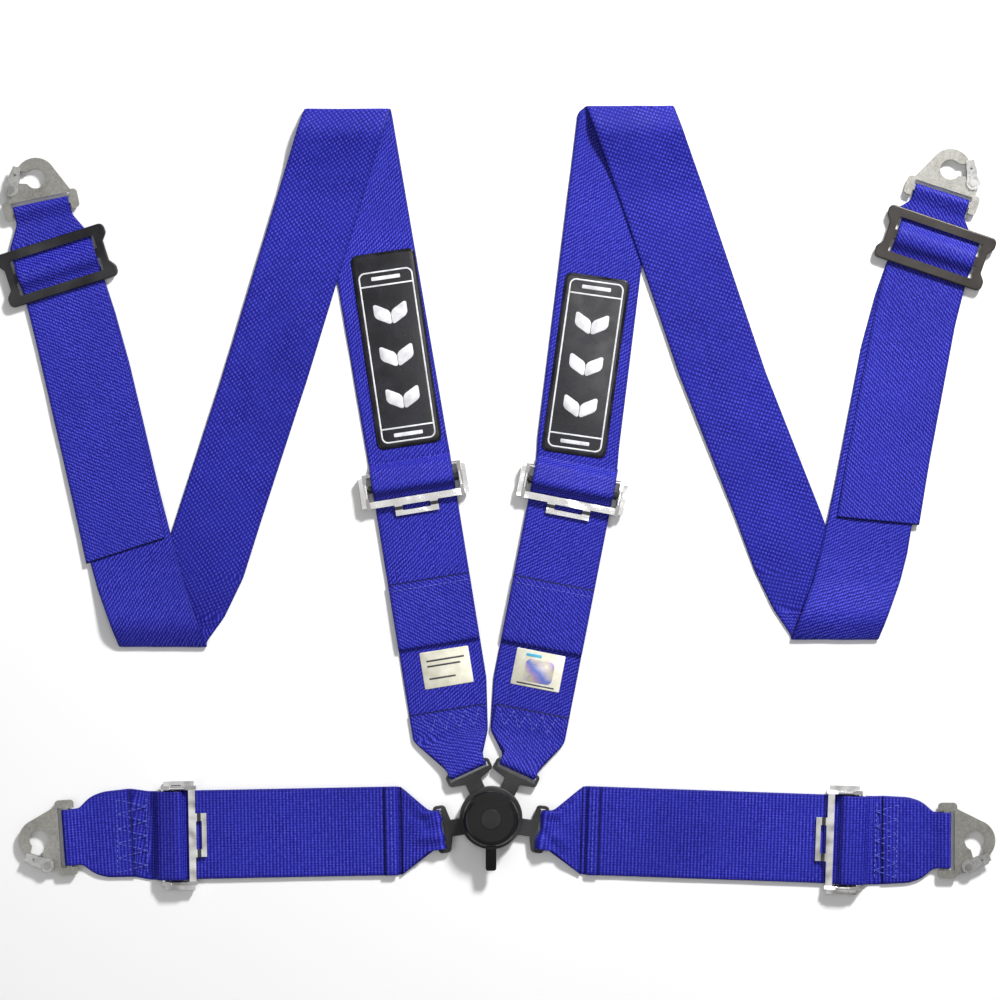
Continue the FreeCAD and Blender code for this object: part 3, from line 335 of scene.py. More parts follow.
def lower_webbing_keys(strap):
    """From the end turned back at the tongue, round its bar, out to the anchor bar."""
    layout = STRAPS[strap]
    tongue, adjuster = tongue_place(strap), adjuster_place(strap)
    half = half_width(strap)
    bar_x, bar_z = TONGUE_BAR
    right_trim, left_trim = layout["trims"]
    full_x = -layout["full_width_x"]
    shift = (right_trim - left_trim) / 2
    full_half = half - (right_trim + left_trim) / 2
    full_row = adjuster.key(full_x, LYING, full_half, shift)
    back_row = adjuster.key(full_x + layout["turned_back"], ON_TOP, full_half, shift)
    upper_full = (full_row[0] + Vector((0, 0, THICK * 1.05)), full_row[1])
    keys = [back_row, upper_full] if layout["turned_back"] > 5 else [upper_full]
    keys.append(tongue.key(bar_x + 9, 5.2, TONGUE_END_HALF))
    keys += half_turn(tongue, bar_x, bar_z, BAR_LOOP, 60, 270, TONGUE_END_HALF)
    keys.append(tongue.key(bar_x + 5, LYING, TONGUE_END_HALF))
    keys.append(full_row)
    keys.append(adjuster.key(full_x + SETTLING_LENGTH, LYING, half))
    keys.append(adjuster.key(ANCHOR_BAR[0] - 1, LYING, half))
    keys += half_turn(adjuster, *ANCHOR_BAR, BAR_LOOP, -90, 170, half)
    return keys


def tail_keys(strap):
    """From the hem's turned end to under the adjuster's front bar."""
    layout, place, half = STRAPS[strap], adjuster_place(strap), half_width(strap)
    hem_x = -layout["hem_x"]
    hem_end = hem_x + layout["hem_length"]
    upper = HEM_HEIGHT
    keys = [place.key(hem_end, upper, half), place.key(hem_x + 3, upper + 0.3, half)]
    keys += [place.key(hem_x, upper - 0.1, half), place.key(hem_x, TAIL_HEIGHT, half)]
    keys += [place.key(hem_x + 3, TAIL_HEIGHT - 0.1, half)]
    keys += [place.key(-60, TAIL_HEIGHT, half), place.key(-14.6, TAIL_HEIGHT, half)]
    return keys


def turn_keys(strap):
    """From under the front bar, over the slide bar and the anchor loop, to the strap."""
    place, half = adjuster_place(strap), half_width(strap)
    keys = [place.key(-14.4, TAIL_HEIGHT, half), place.key(-11.4, 3.2, half)]
    keys.append(place.key(-7.6, 5.6, half))
    keys += half_turn(place, *SLIDE_BAR, SLIDE_LOOP, 180, 62, half)
    keys += half_turn(place, *ANCHOR_BAR, OUTER_ANCHOR_LOOP, 84, 4, half, steps=6)
    keys += [place.key(18.8, 1.7, half), place.key(22.5, 0.3, half)]
    return keys


def fold_skew(heading):
    """How far a row leans to lie along the fold, as a share of its half width."""
    return -across(heading).y / along(heading).y


def hook_keys(strap, from_place, start_x, half, upper_height):
    """Out to the hook, round its bar and back, ending where the start was."""
    hook = hook_place(strap)
    reach = (hook.origin - from_place.at(start_x)).length
    full = [(max(-TAPER_STRAIGHT - TAPER_LENGTH, 8 - reach), half)]
    if strap in LAPS:
        full += [(-TAPER_STRAIGHT + x, HOOK_END_HALF + (half - HOOK_END_HALF) * share)
                 for x, share in LAP_END_PROFILE]
    out = [hook.key(x, LYING, width) for x, width in full]
    out.append(hook.key(-TAPER_STRAIGHT, LYING, HOOK_END_HALF))
    turn = half_turn(hook, *HOOK_BAR, HOOK_LOOP, -90, 90, HOOK_END_HALF)
    back = [hook.key(-TAPER_STRAIGHT, THICK * 2.1, HOOK_END_HALF)]
    back += [hook.key(x, upper_height, width - 0.6) for x, width in reversed(full)]
    return out + turn + back


def inner_strand_keys(strap):
    """Up from the adjuster to the top fold."""
    layout, half = STRAPS[strap], SHOULDER_HALF
    heading = layout["inner_heading"]
    place = Place(layout["adjuster"], heading)
    length = (layout["top_fold_y"] - layout["adjuster"][1]) / place.forward.y
    keys = [adjuster_place(strap).key(STRAP_START, LYING, half)]
    keys += [place.key(40, LYING, half), place.key(length - 90, LYING, half)]
    keys.append(place.key(length - 4, LYING + 0.1, half, 0, fold_skew(heading) * half))
    return keys


def outer_strand_keys(strap):
    """Down from the top fold to the bottom fold."""
    layout = STRAPS[strap]
    top_y, low_y = layout["top_fold_y"], layout["bottom_fold_y"]
    top_x, low_x = layout["outer_top_x"], layout["outer_bottom_x"]
    fold_x = layout["bottom_fold_x"]
    slope = (top_x - low_x) / (top_y - low_y)
    wide = Vector((-SHOULDER_HALF * math.hypot(1, slope), 0, 0))
    keys = [(Vector((top_x - slope * back, top_y - back, height)), wide)
            for back, height in FOLD_PROFILE]
    middle_x = (top_x + low_x) / 2 + layout["outer_middle_shift"]
    keys.append((Vector((middle_x, (top_y + low_y) / 2, 2.0)), wide))
    for back, height, moved in OUTER_FOOT:
        x = low_x * (1 - moved) + fold_x * moved
        keys.append((Vector((x + slope * back, low_y + back, height)), wide))
    keys.append((Vector((fold_x, low_y + 2, LYING + 0.1)), wide))
    return keys


SLIDER_KNEE = 80


def third_strand_keys(strap):
    """Up from the bottom fold, through the slider, round the hook and back to the tail."""
    layout, half = STRAPS[strap], SHOULDER_HALF
    low_y, fold_x = layout["bottom_fold_y"], layout["bottom_fold_x"]
    slider = Place(layout["slider"], layout["slider_heading"])
    knee = slider.at(-SLIDER_KNEE)
    third_x = layout["anchor_bottom_x"]
    slope = (knee.x - third_x) / (knee.y - low_y)
    wide = Vector((-half * math.hypot(1, slope) * 1.04, 0, 0))
    keys = []
    for back, height in FOLD_PROFILE:
        settled = min(1.0, max(0.0, back / 60))
        x = third_x * settled + fold_x * (1 - settled)
        keys.append((Vector((x + slope * back, low_y + back, height)), wide))
    heading = math.degrees(math.atan2(knee.y - low_y, knee.x - third_x))
    rising = Place((third_x, low_y), heading)
    reach = (knee.y - low_y) / rising.forward.y
    keys.append(rising.key(reach * 0.5, 1.9, half, 0, fold_skew(heading) * half * 0.4))
    keys.append(rising.key(reach - 20, LYING, half))
    keys.append(slider.key(-55, LYING, half))
    keys += slider_pass(slider, half, LYING, 1)
    keys += hook_keys(strap, slider, 14.0, half, ON_TOP)
    keys += slider_pass(slider, half, ON_TOP, -1)
    shift = layout["tail_shift"]
    keys.append(slider.key(-60, ON_TOP, half, shift * 0.4))
    end = knee.lerp(Vector((third_x, low_y, 0)), (layout["tail_end_x"] - SLIDER_KNEE) / reach)
    end_row = Place((end.x, end.y), heading)
    keys.append(end_row.key(60, ON_TOP + 0.4, half, shift * 0.8))
    keys.append(end_row.key(0, THICK * 2.6, half, shift, layout["tail_slant"]))
    return keys


def main_strap_keys(strap):
    """Up from the adjuster, down the outer strand, up to the hook and back to the tail."""
    return inner_strand_keys(strap) + outer_strand_keys(strap) + third_strand_keys(strap)


SLIDER_CREST = 8.4


def slider_pass(slider, half, height, direction):
    """Over the slider's centre bar: direction 1 towards the hook, -1 back again."""
    crest = SLIDER_CREST + height - LYING
    profile = [(-21, height), (-15.5, height + 0.2), (-11.5, height + 1.4), (-8, height + 4.6),
               (-4.6, crest - 0.6), (0, crest), (4.6, crest - 0.6), (8, height + 4.6),
               (11.5, height + 1.4), (15.5, height + 0.2), (21, height)]
    return [slider.key(x, z, half - 0.4) for x, z in profile[::direction]]


def lap_main_keys(strap):
    """From the adjuster out to the hook and back to a sewn end."""
    half, place = LAP_HALF, adjuster_place(strap)
    keys = [place.key(STRAP_START, LYING, half), place.key(24, LYING, half)]
    return keys + hook_keys(strap, place, 24, half, THICK * 1.55)


# ---------------------------------------------------------------- material helpers

class Nodes:
    """Short ways to build one material's nodes."""

    def __init__(self, name, roughness=0.5, metallic=0.0):
        self.material = bpy.data.materials.new(name)
        self.material.use_nodes = True
        self.tree = self.material.node_tree
        self.shader = self.tree.nodes["Principled BSDF"]
        self.shader.inputs["Roughness"].default_value = roughness
        self.shader.inputs["Metallic"].default_value = metallic

    def put(self, kind, **settings):
        node = self.tree.nodes.new(kind)
        for name, value in settings.items():
            setattr(node, name, value)
        return node

    def join(self, value, socket):
        """Connects a node's output, or sets a plain value."""
        if isinstance(value, (int, float, tuple)):
            socket.default_value = value
        else:
            self.tree.links.new(value, socket)

    def math(self, operation, first, second=0.0):
        node = self.put("ShaderNodeMath", operation=operation)
        self.join(first, node.inputs[0])
        self.join(second, node.inputs[1])
        return node.outputs[0]

    def noise(self, scale, detail=2.0, vector=None, roughness=0.5):
        node = self.put("ShaderNodeTexNoise")
        node.inputs["Scale"].default_value = scale
        node.inputs["Detail"].default_value = detail
        node.inputs["Roughness"].default_value = roughness
        self.join(vector or self.position(), node.inputs["Vector"])
        return node.outputs["Fac"]

    def position(self):
        return self.put("ShaderNodeTexCoord").outputs["Object"]

    def uv(self, name):
        node = self.put("ShaderNodeUVMap", uv_map=name)
        split = self.put("ShaderNodeSeparateXYZ")
        self.join(node.outputs[0], split.inputs[0])
        return split.outputs[0], split.outputs[1]

    def ramp(self, value, stops):
        node = self.put("ShaderNodeValToRGB")
        points = node.color_ramp.elements
        while len(points) < len(stops):
            points.new(0.5)
        for point, (place, colour) in zip(points, stops):
            point.position = place
            point.color = (*colour, 1.0)
        self.join(value, node.inputs[0])
        return node.outputs[0]

    def mix(self, share, first, second, blend="MIX"):
        node = self.put("ShaderNodeMix", data_type="RGBA", blend_type=blend)
        self.join(share, node.inputs[0])
        for value, socket in ((first, node.inputs[6]), (second, node.inputs[7])):
            self.join((*value, 1.0) if isinstance(value, tuple) else value, socket)
        return node.outputs[2]

    def span(self, value, low, high, new_low=0.0, new_high=1.0):
        node = self.put("ShaderNodeMapRange")
        self.join(value, node.inputs[0])
        for index, number in enumerate((low, high, new_low, new_high), start=1):
            node.inputs[index].default_value = number
        return node.outputs[0]

    def bump(self, height, distance, strength=1.0, below=None):
        node = self.put("ShaderNodeBump")
        node.inputs["Distance"].default_value = distance
        node.inputs["Strength"].default_value = strength
        self.join(height, node.inputs["Height"])
        if below:
            self.join(below, node.inputs["Normal"])
        self.join(node.outputs[0], self.shader.inputs["Normal"])
        return node.outputs[0]

    def colour(self, value):
        self.join(value, self.shader.inputs["Base Color"])

    def rough(self, value):
        self.join(value, self.shader.inputs["Roughness"])


def wave_of(nodes, value, pitch, phase=0.0):
    """A wave between 0 and 1 along a length in metres; pitch in millimetres."""
    turns = nodes.math("MULTIPLY", value, 2 * math.pi / (pitch * MM))
    shifted = nodes.math("ADD", turns, phase)
    return nodes.span(nodes.math("COSINE", shifted), -1.0, 1.0)


# ---------------------------------------------------------------- materials

# Webbing blues. The weave's colour follows its relief: BLUE_LIGHT on the raised floats is a painted
# sheen highlight, and BLUE_DARK in the hollows is painted shade. BLUE_DARK also gives random darker
# clouds and the painted shade along the edges.
BLUE_DARK = (0.0040, 0.0040, 0.130)
BLUE_MAIN = (0.013, 0.012, 0.31)
BLUE_LIGHT = (0.085, 0.090, 0.66)
BLUE_STAIN = (0.020, 0.026, 0.36)
# Painted shade at the webbing's cut ends: near black.
END_SHADE = (0.0012, 0.0014, 0.030)
SHEEN_TINT = (0.45, 0.48, 1.0, 1.0)

# Repeats of the weaves in millimetres, along and across the webbing, and their depths.
TWILL_PITCH = 3.5
TWILL_YARN = 2.1
TWILL_LEAN = 0.75
FINE_DEPTH = 0.32
BRICK_PITCH = 4.3
BRICK_YARN = 2.3
BRICK_OFFSET = 0.42
RIB_PITCH = 3.1
RIB_YARN = 2.4
COARSE_DEPTH = 0.34
KNURL_PITCH = 1.5


def finish_webbing(nodes, height, bump_depth):
    """Colour with painted highlight and shade on the weave, painted shade on the edges and cut ends,
    wear and sheen that every face of the webbing shares.
    """
    out, from_end = nodes.uv("edge")
    mottle = nodes.noise(42.0, 3.0)
    cloud = nodes.noise(9.0, 2.0)
    fibre = nodes.noise(1400.0, 2.0)
    # Painted light on the weave: lighter on the raised floats and darker in the hollows between
    # them, with a little random noise.
    grain = nodes.math("ADD", height, nodes.span(nodes.noise(520.0, 2.0), 0.3, 0.7, -0.16, 0.16))
    weave = nodes.ramp(grain, [(0.12, BLUE_DARK), (0.5, BLUE_MAIN), (0.95, BLUE_LIGHT)])
    tinted = nodes.mix(nodes.span(mottle, 0.3, 0.7, 0.0, 0.35), weave, BLUE_STAIN)
    clouded = nodes.mix(nodes.span(cloud, 0.35, 0.7, 0.0, 0.28), tinted, BLUE_DARK)
    # Painted shade: up to 45% BLUE_DARK on the webbing's rounded edges.
    edge = nodes.span(out, 0.935, 0.965, 0.0, 0.45)
    # Painted shade: near black within 1.9 mm of every ribbon's cut ends, standing in for the shadow
    # in the gap at a raw edge.
    end_shade = nodes.span(from_end, 0.7 * MM, 1.9 * MM, 0.9, 0.0)
    nodes.colour(nodes.mix(end_shade, nodes.mix(edge, clouded, BLUE_DARK), END_SHADE))
    rough = nodes.span(nodes.math("ADD", mottle, nodes.math("MULTIPLY", fibre, 0.4)),
                       0.4, 1.0, 0.46, 0.68)
    nodes.rough(rough)
    surface = nodes.math("ADD", height, nodes.math("MULTIPLY", fibre, 0.35))
    nodes.bump(surface, bump_depth * MM, 0.85)
    nodes.shader.inputs["Sheen Weight"].default_value = 0.08
    nodes.shader.inputs["Sheen Roughness"].default_value = 0.35
    nodes.shader.inputs["Sheen Tint"].default_value = SHEEN_TINT
    nodes.shader.inputs["Specular IOR Level"].default_value = 0.16
    return nodes.material


def twill_face(name):
    """Fine diagonal twill of the webbing's face."""
    nodes = Nodes(name)
    u, v = nodes.uv("weave")
    uneven = nodes.math("MULTIPLY", nodes.noise(210.0, 2.0), 3.2 * MM)
    along_yarn = nodes.math("ADD", u, uneven)
    slant = nodes.math("ADD", along_yarn, nodes.math("MULTIPLY", v, TWILL_LEAN))
    diagonal = wave_of(nodes, slant, TWILL_PITCH)
    yarns = wave_of(nodes, v, TWILL_YARN)
    height = nodes.math("ADD", nodes.math("MULTIPLY", diagonal, 0.62),
                        nodes.math("MULTIPLY", yarns, 0.38))
    return finish_webbing(nodes, height, FINE_DEPTH)


def brick_face(name):
    """The back of the shoulder webbing: longer floats set like bricks."""
    nodes = Nodes(name)
    u, v = nodes.uv("weave")
    yarn = nodes.math("FLOOR", nodes.math("DIVIDE", v, BRICK_YARN * MM))
    offset = nodes.math("MULTIPLY", yarn, BRICK_OFFSET * 2 * math.pi)
    turns = nodes.math("MULTIPLY", u, 2 * math.pi / (BRICK_PITCH * MM))
    float_wave = nodes.span(nodes.math("COSINE", nodes.math("ADD", turns, offset)),
                            -0.75, 0.6)
    across_yarn = nodes.math("FRACT", nodes.math("DIVIDE", v, BRICK_YARN * MM))
    ridge = nodes.math("SINE", nodes.math("MULTIPLY", across_yarn, math.pi))
    height = nodes.math("MULTIPLY", float_wave, nodes.math("POWER", ridge, 0.6))
    softened = nodes.math("ADD", nodes.math("MULTIPLY", height, 0.62), 0.19)
    return finish_webbing(nodes, softened, COARSE_DEPTH)


def rib_face(name):
    """Cross ribs of the lap webbing."""
    nodes = Nodes(name)
    u, v = nodes.uv("weave")
    ribs = wave_of(nodes, u, RIB_PITCH)
    yarns = wave_of(nodes, v, RIB_YARN)
    height = nodes.math("ADD", nodes.math("MULTIPLY", ribs, 0.52),
                        nodes.math("ADD", nodes.math("MULTIPLY", yarns, 0.24), 0.12))
    return finish_webbing(nodes, height, COARSE_DEPTH)


def thread_material():
    nodes = Nodes("thread", roughness=0.5)
    tone = nodes.noise(300.0)
    nodes.colour(nodes.ramp(tone, [(0.3, (0.03, 0.045, 0.42)), (0.7, (0.10, 0.14, 0.66))]))
    nodes.rough(nodes.span(nodes.noise(900.0), 0.3, 0.7, 0.4, 0.6))
    nodes.bump(nodes.noise(2600.0), 0.1 * MM, 0.6)
    nodes.shader.inputs["Sheen Weight"].default_value = 0.4
    return nodes.material


def metal_material(name, dark, light, rough, grain=260.0, depth=0.03, spots=38.0, dents=0.0):
    """Bare or plated metal with handling marks, a fine grain and pressed-in unevenness."""
    nodes = Nodes(name, metallic=1.0)
    patch = nodes.noise(spots, 3.0)
    fine = nodes.noise(grain, 3.0)
    nodes.colour(nodes.ramp(patch, [(0.3, dark), (0.7, light)]))
    blend = nodes.math("ADD", nodes.math("MULTIPLY", patch, 0.6),
                       nodes.math("MULTIPLY", fine, 0.4))
    nodes.rough(nodes.span(blend, 0.3, 0.7, *rough))
    uneven = nodes.bump(nodes.noise(48.0, 1.0), dents * MM, 1.0)
    nodes.bump(fine, depth * MM, 0.6, below=uneven)
    return nodes.material


def zinc_material(name, dark, light):
    """Matt zinc with the faint spangle of plated sheet steel."""
    nodes = Nodes(name, metallic=0.85)
    cells = nodes.put("ShaderNodeTexVoronoi")
    cells.inputs["Scale"].default_value = 620.0
    nodes.join(nodes.position(), cells.inputs["Vector"])
    grey = nodes.put("ShaderNodeRGBToBW")
    nodes.join(cells.outputs["Color"], grey.inputs[0])
    stain = nodes.noise(60.0, 4.0)
    tone = nodes.math("ADD", nodes.math("MULTIPLY", grey.outputs[0], 0.3),
                      nodes.math("MULTIPLY", stain, 0.7))
    nodes.colour(nodes.ramp(tone, [(0.25, dark), (0.85, light)]))
    nodes.rough(nodes.span(tone, 0.2, 0.9, 0.42, 0.28))
    nodes.bump(nodes.math("ADD", tone, nodes.noise(900.0)), 0.06 * MM, 0.55)
    return nodes.material


def black_material(name, colour, rough, scale=420.0, depth=0.04, metallic=0.0, worn=0.05):
    """Black coating or moulded plastic: fine grain, soft wear and dust."""
    nodes = Nodes(name, metallic=metallic)
    wear = nodes.noise(24.0, 4.0)
    grain = nodes.noise(scale, 3.0)
    lighter = tuple(part + worn for part in colour)
    nodes.colour(nodes.ramp(wear, [(0.35, colour), (0.8, lighter)]))
    blend = nodes.math("ADD", nodes.math("MULTIPLY", wear, 0.5),
                       nodes.math("MULTIPLY", grain, 0.5))
    nodes.rough(nodes.span(blend, 0.3, 0.7, *rough))
    nodes.bump(grain, depth * MM, 0.7)
    nodes.shader.inputs["Specular IOR Level"].default_value = 0.35
    return nodes.material


def knurled_material():
    """Black slide bar with crossed ridges."""
    nodes = Nodes("knurled", metallic=0.6)
    split = nodes.put("ShaderNodeSeparateXYZ")
    nodes.join(nodes.position(), split.inputs[0])
    x, y = split.outputs[0], split.outputs[1]
    first = wave_of(nodes, nodes.math("ADD", x, y), KNURL_PITCH)
    second = wave_of(nodes, nodes.math("SUBTRACT", x, y), KNURL_PITCH)
    ridges = nodes.math("MULTIPLY", first, second)
    nodes.colour(nodes.ramp(ridges, [(0.1, (0.01, 0.01, 0.011)), (0.9, (0.09, 0.09, 0.1))]))
    nodes.rough(nodes.span(ridges, 0.0, 1.0, 0.55, 0.3))
    nodes.bump(ridges, 0.3 * MM, 0.8)
    return nodes.material


def patch_material():
    """Glossy black moulded patch, slightly orange-peeled and scuffed."""
    nodes = Nodes("patch", roughness=0.2)
    scuff = nodes.noise(55.0, 4.0)
    peel = nodes.noise(420.0, 1.0)
    nodes.colour(nodes.ramp(scuff, [(0.4, (0.006, 0.006, 0.008)), (0.8, (0.022, 0.022, 0.03))]))
    nodes.rough(nodes.span(scuff, 0.35, 0.75, 0.16, 0.4))
    nodes.bump(peel, 0.05 * MM, 0.5)
    nodes.shader.inputs["Specular IOR Level"].default_value = 0.3
    nodes.shader.inputs["Coat Weight"].default_value = 0.12
    nodes.shader.inputs["Coat Roughness"].default_value = 0.1
    return nodes.material


def print_material(name, dark, light, rough):
    """Ink or moulded lettering rubber, a little uneven."""
    nodes = Nodes(name)
    tone = nodes.noise(120.0, 4.0)
    nodes.colour(nodes.ramp(tone, [(0.3, dark), (0.7, light)]))
    nodes.rough(nodes.span(tone, 0.3, 0.7, *rough))
    nodes.bump(nodes.noise(800.0), 0.04 * MM, 0.5)
    return nodes.material


def foil_material():
    """Security foil: soft bands of violet, blue and cream."""
    nodes = Nodes("foil", roughness=0.3, metallic=0.35)
    split = nodes.put("ShaderNodeSeparateXYZ")
    nodes.join(nodes.position(), split.inputs[0])
    bend = nodes.math("MULTIPLY", nodes.noise(60.0, 2.0), 0.02)
    band = nodes.math("ADD", nodes.math("ADD", split.outputs[0], split.outputs[1]), bend)
    share = nodes.math("FRACT", nodes.math("MULTIPLY", band, 36.0))
    nodes.colour(nodes.ramp(share, [
        (0.0, (0.62, 0.58, 0.42)), (0.3, (0.42, 0.30, 0.62)), (0.55, (0.16, 0.24, 0.72)),
        (0.75, (0.55, 0.5, 0.6)), (1.0, (0.62, 0.58, 0.42))]))
    nodes.rough(nodes.span(nodes.noise(300.0), 0.3, 0.7, 0.25, 0.42))
    nodes.bump(nodes.noise(700.0), 0.03 * MM, 0.5)
    return nodes.material


TWILL = twill_face("webbing_twill")
BRICK = brick_face("webbing_brick")
RIBBED = rib_face("webbing_rib")
THREAD = thread_material()
CHROME = metal_material("chrome", (0.70, 0.68, 0.66), (0.95, 0.95, 0.95), (0.06, 0.16),
                        dents=1.1)
STEEL = metal_material("steel", (0.42, 0.41, 0.40), (0.66, 0.65, 0.63), (0.24, 0.42))
SPRING = metal_material("spring_steel", (0.2, 0.2, 0.21), (0.4, 0.4, 0.42), (0.25, 0.4))
ZINC = zinc_material("zinc", (0.27, 0.265, 0.24), (0.55, 0.54, 0.50))
GATE = zinc_material("gate_sheet", (0.34, 0.34, 0.33), (0.78, 0.78, 0.76))
TONGUE = black_material("tongue_coat", (0.009, 0.009, 0.010), (0.34, 0.5))
BODY = black_material("buckle_body", (0.010, 0.010, 0.011), (0.4, 0.55))
KNOB = black_material("knob_plastic", (0.005, 0.0045, 0.0045), (0.12, 0.26), worn=0.008)
CAP = black_material("knob_cap", (0.012, 0.012, 0.012), (0.35, 0.5), worn=0.02)
SLIDER_LEFT = black_material("slider_dark", (0.010, 0.010, 0.012), (0.28, 0.42), metallic=0.3)
SLIDER_RIGHT = black_material("slider_bronze", (0.030, 0.024, 0.020), (0.26, 0.4),
                              metallic=0.45, worn=0.04)
KNURLED = knurled_material()
PATCH = patch_material()
WHITE_INK = print_material("white_ink", (0.55, 0.55, 0.57), (0.86, 0.86, 0.88), (0.4, 0.6))
CREAM = print_material("label_cream", (0.62, 0.60, 0.47), (0.80, 0.78, 0.66), (0.45, 0.6))
DARK_INK = print_material("dark_ink", (0.02, 0.02, 0.03), (0.07, 0.07, 0.09), (0.4, 0.6))
CYAN_INK = print_material("cyan_ink", (0.05, 0.35, 0.55), (0.10, 0.5, 0.7), (0.3, 0.5))
FOIL = foil_material()


# ---------------------------------------------------------------- stitches

STITCH_LENGTH = 3.3
STITCH_GAP = 1.2
THREAD_RADIUS = 0.36
THREAD_SIDES = 6

# A stitch's rings: share of its length, share of the thread's radius.
THREAD_RINGS = ((0.0, 0.25), (0.12, 0.75), (0.35, 1.0), (0.65, 1.0), (0.88, 0.75), (1.0, 0.25))
THREAD_SINK = 0.5


def stitch_line(points):
    """Single stitches along a line of points."""
    stitches = []
    repeat = STITCH_LENGTH + STITCH_GAP
    for start, end in zip(points, points[1:]):
        count = max(1, round((end - start).length / repeat))
        pitch = (end - start) / count
        for index in range(count):
            first = start + pitch * (index + STITCH_GAP / repeat / 2)
            stitches.append((first, first + pitch * (STITCH_LENGTH / repeat)))
    return stitches


def zigzag(place, x_low, x_high, half, height, turns):
    """Points of a zigzag that crosses the strap."""
    points = []
    for index in range(turns + 1):
        y = -half + 2 * half * index / turns
        points.append(place.at(x_low if index % 2 else x_high, y, height))
    return points


def thread_rings(start, end):
    """Points round one stitch, sunk a little into the cloth at both ends."""
    forward = (end - start).normalized()
    side = forward.cross(Vector((0, 0, 1))).normalized()
    points = []
    for share, size in THREAD_RINGS:
        sink = (abs(share - 0.5) * 2) ** 2 * THREAD_SINK
        middle = start.lerp(end, share) - Vector((0, 0, sink))
        for corner in range(THREAD_SIDES):
            angle = 2 * math.pi * corner / THREAD_SIDES
            points.append(middle + side * math.cos(angle) * THREAD_RADIUS * size
                          + Vector((0, 0, math.sin(angle) * THREAD_RADIUS * size)))
    return points


def sewn(name, stitches, body):
    """One mesh of rounded threads."""
    verts, faces = [], []
    sides, rings = THREAD_SIDES, len(THREAD_RINGS)
    for start, end in stitches:
        first = len(verts)
        verts += thread_rings(start, end)
        for ring in range(rings - 1):
            for corner in range(sides):
                a = first + ring * sides + corner
                b = first + ring * sides + (corner + 1) % sides
                faces.append((a, b, b + sides, a + sides))
        faces.append(tuple(first + corner for corner in reversed(range(sides))))
        last = first + (rings - 1) * sides
        faces.append(tuple(last + corner for corner in range(sides)))
    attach(make_object(name, verts, faces, [THREAD]), body)


# ---------------------------------------------------------------- plates, badges, labels

def rounded_outline(half_x, half_y, corner, per_corner=7):
    """Points round a rectangle with rounded corners."""
    points = []
    for quarter, (sx, sy) in enumerate(((1, 1), (-1, 1), (-1, -1), (1, -1))):
        for index in range(per_corner + 1):
            angle = math.radians(90 * quarter + 90 * index / per_corner)
            points.append((sx * (half_x - corner) + corner * math.cos(angle),
                           sy * (half_y - corner) + corner * math.sin(angle)))
    return points


def ringed(name, place, half_x, half_y, corner, profile, materials, centre=(0, 0),
           filled=True, slant=0.0):
    """A plate or a closed band: rings of a rounded rectangle, each inset and raised."""
    verts, faces = [], []
    count = len(rounded_outline(half_x, half_y, corner))
    for inset, height in profile:
        ring = rounded_outline(half_x - inset, half_y - inset, max(0.15, corner - inset))
        verts += [place.at(centre[0] + x + slant * y, centre[1] + y, height) for x, y in ring]
    for ring in range(len(profile) - 1):
        for index in range(count):
            a, b = ring * count + index, ring * count + (index + 1) % count
            faces.append((a, b, b + count, a + count))
    if filled:
        top = (len(profile) - 1) * count
        faces.append(tuple(top + index for index in range(count)))
        faces.append(tuple(reversed(range(count))))
    return make_object(name, verts, faces, materials)


def raised_mark(name, place, centre, half_x, half_y, height, material, slant=0.0):
    """A thin raised stroke with rounded corners."""
    corner = min(half_x, half_y) * 0.5
    profile = ((0, height - 0.3), (0, height + 0.12), (0.18, height + 0.22))
    return ringed(name, place, half_x, half_y, corner, profile, [material], centre,
                  slant=slant)


# The badge: half width, height of its face, corners, and its rings as inset and height.
BADGE_HALF = 29.0
BADGE_TOP = 2.75
BADGE_CORNER = 6.0
BADGE_RINGS = ((0.3, 1.2), (0.0, 1.7), (0.4, 2.3), (1.3, 2.65), (3.0, BADGE_TOP))
LEFT_BADGE_BLANK = 12.0

# The white outline: distance in from the badge's edge, and its rings.
OUTLINE_INSET = 4.5
OUTLINE_RINGS = ((0, BADGE_TOP - 0.2), (0.2, BADGE_TOP + 0.2), (1.4, BADGE_TOP + 0.2),
                 (1.6, BADGE_TOP - 0.2))

# Bars across the badge's ends: distance in from the outline's end, half length, half width.
END_BAR = (13.0, 0.7, BADGE_HALF - 5.5)
SMALL_BAR = (6.6, 1.7, 13.0)

# The chevrons: how many, room kept at both ends, and each arm's slant, offset and half width.
CHEVRONS = 3
CHEVRON_ROOM = 20
CHEVRON_LEAN = 0.55
CHEVRON_OFFSET = 7.6
CHEVRON_HALF = 7.4
CHEVRON_STROKE = 0.17


def badge_bars(strap, name, place, shift, frame_half, bar):
    """The same bar near both ends of the badge."""
    inset, half_length, half_across = bar
    return [raised_mark(f"{strap}_badge_{name}_{word}", place,
                        (shift + end * (frame_half - inset), 0), half_length, half_across,
                        BADGE_TOP, WHITE_INK)
            for end, word in ((-1, "low"), (1, "high"))]


def badge_chevrons(strap, place, shift, frame_half):
    """Generic arrowheads, each of two slanting arms."""
    pitch = (2 * frame_half - 2 * CHEVRON_ROOM) / CHEVRONS
    marks = []
    for index in range(CHEVRONS):
        x = shift - frame_half + CHEVRON_ROOM + pitch * (index + 0.5)
        for arm, letter in ((-1, "a"), (1, "b")):
            marks.append(raised_mark(f"{strap}_badge_chevron_{index}_{letter}", place,
                                     (x, arm * CHEVRON_OFFSET), pitch * CHEVRON_STROKE,
                                     CHEVRON_HALF, BADGE_TOP, WHITE_INK,
                                     slant=arm * CHEVRON_LEAN))
    return marks


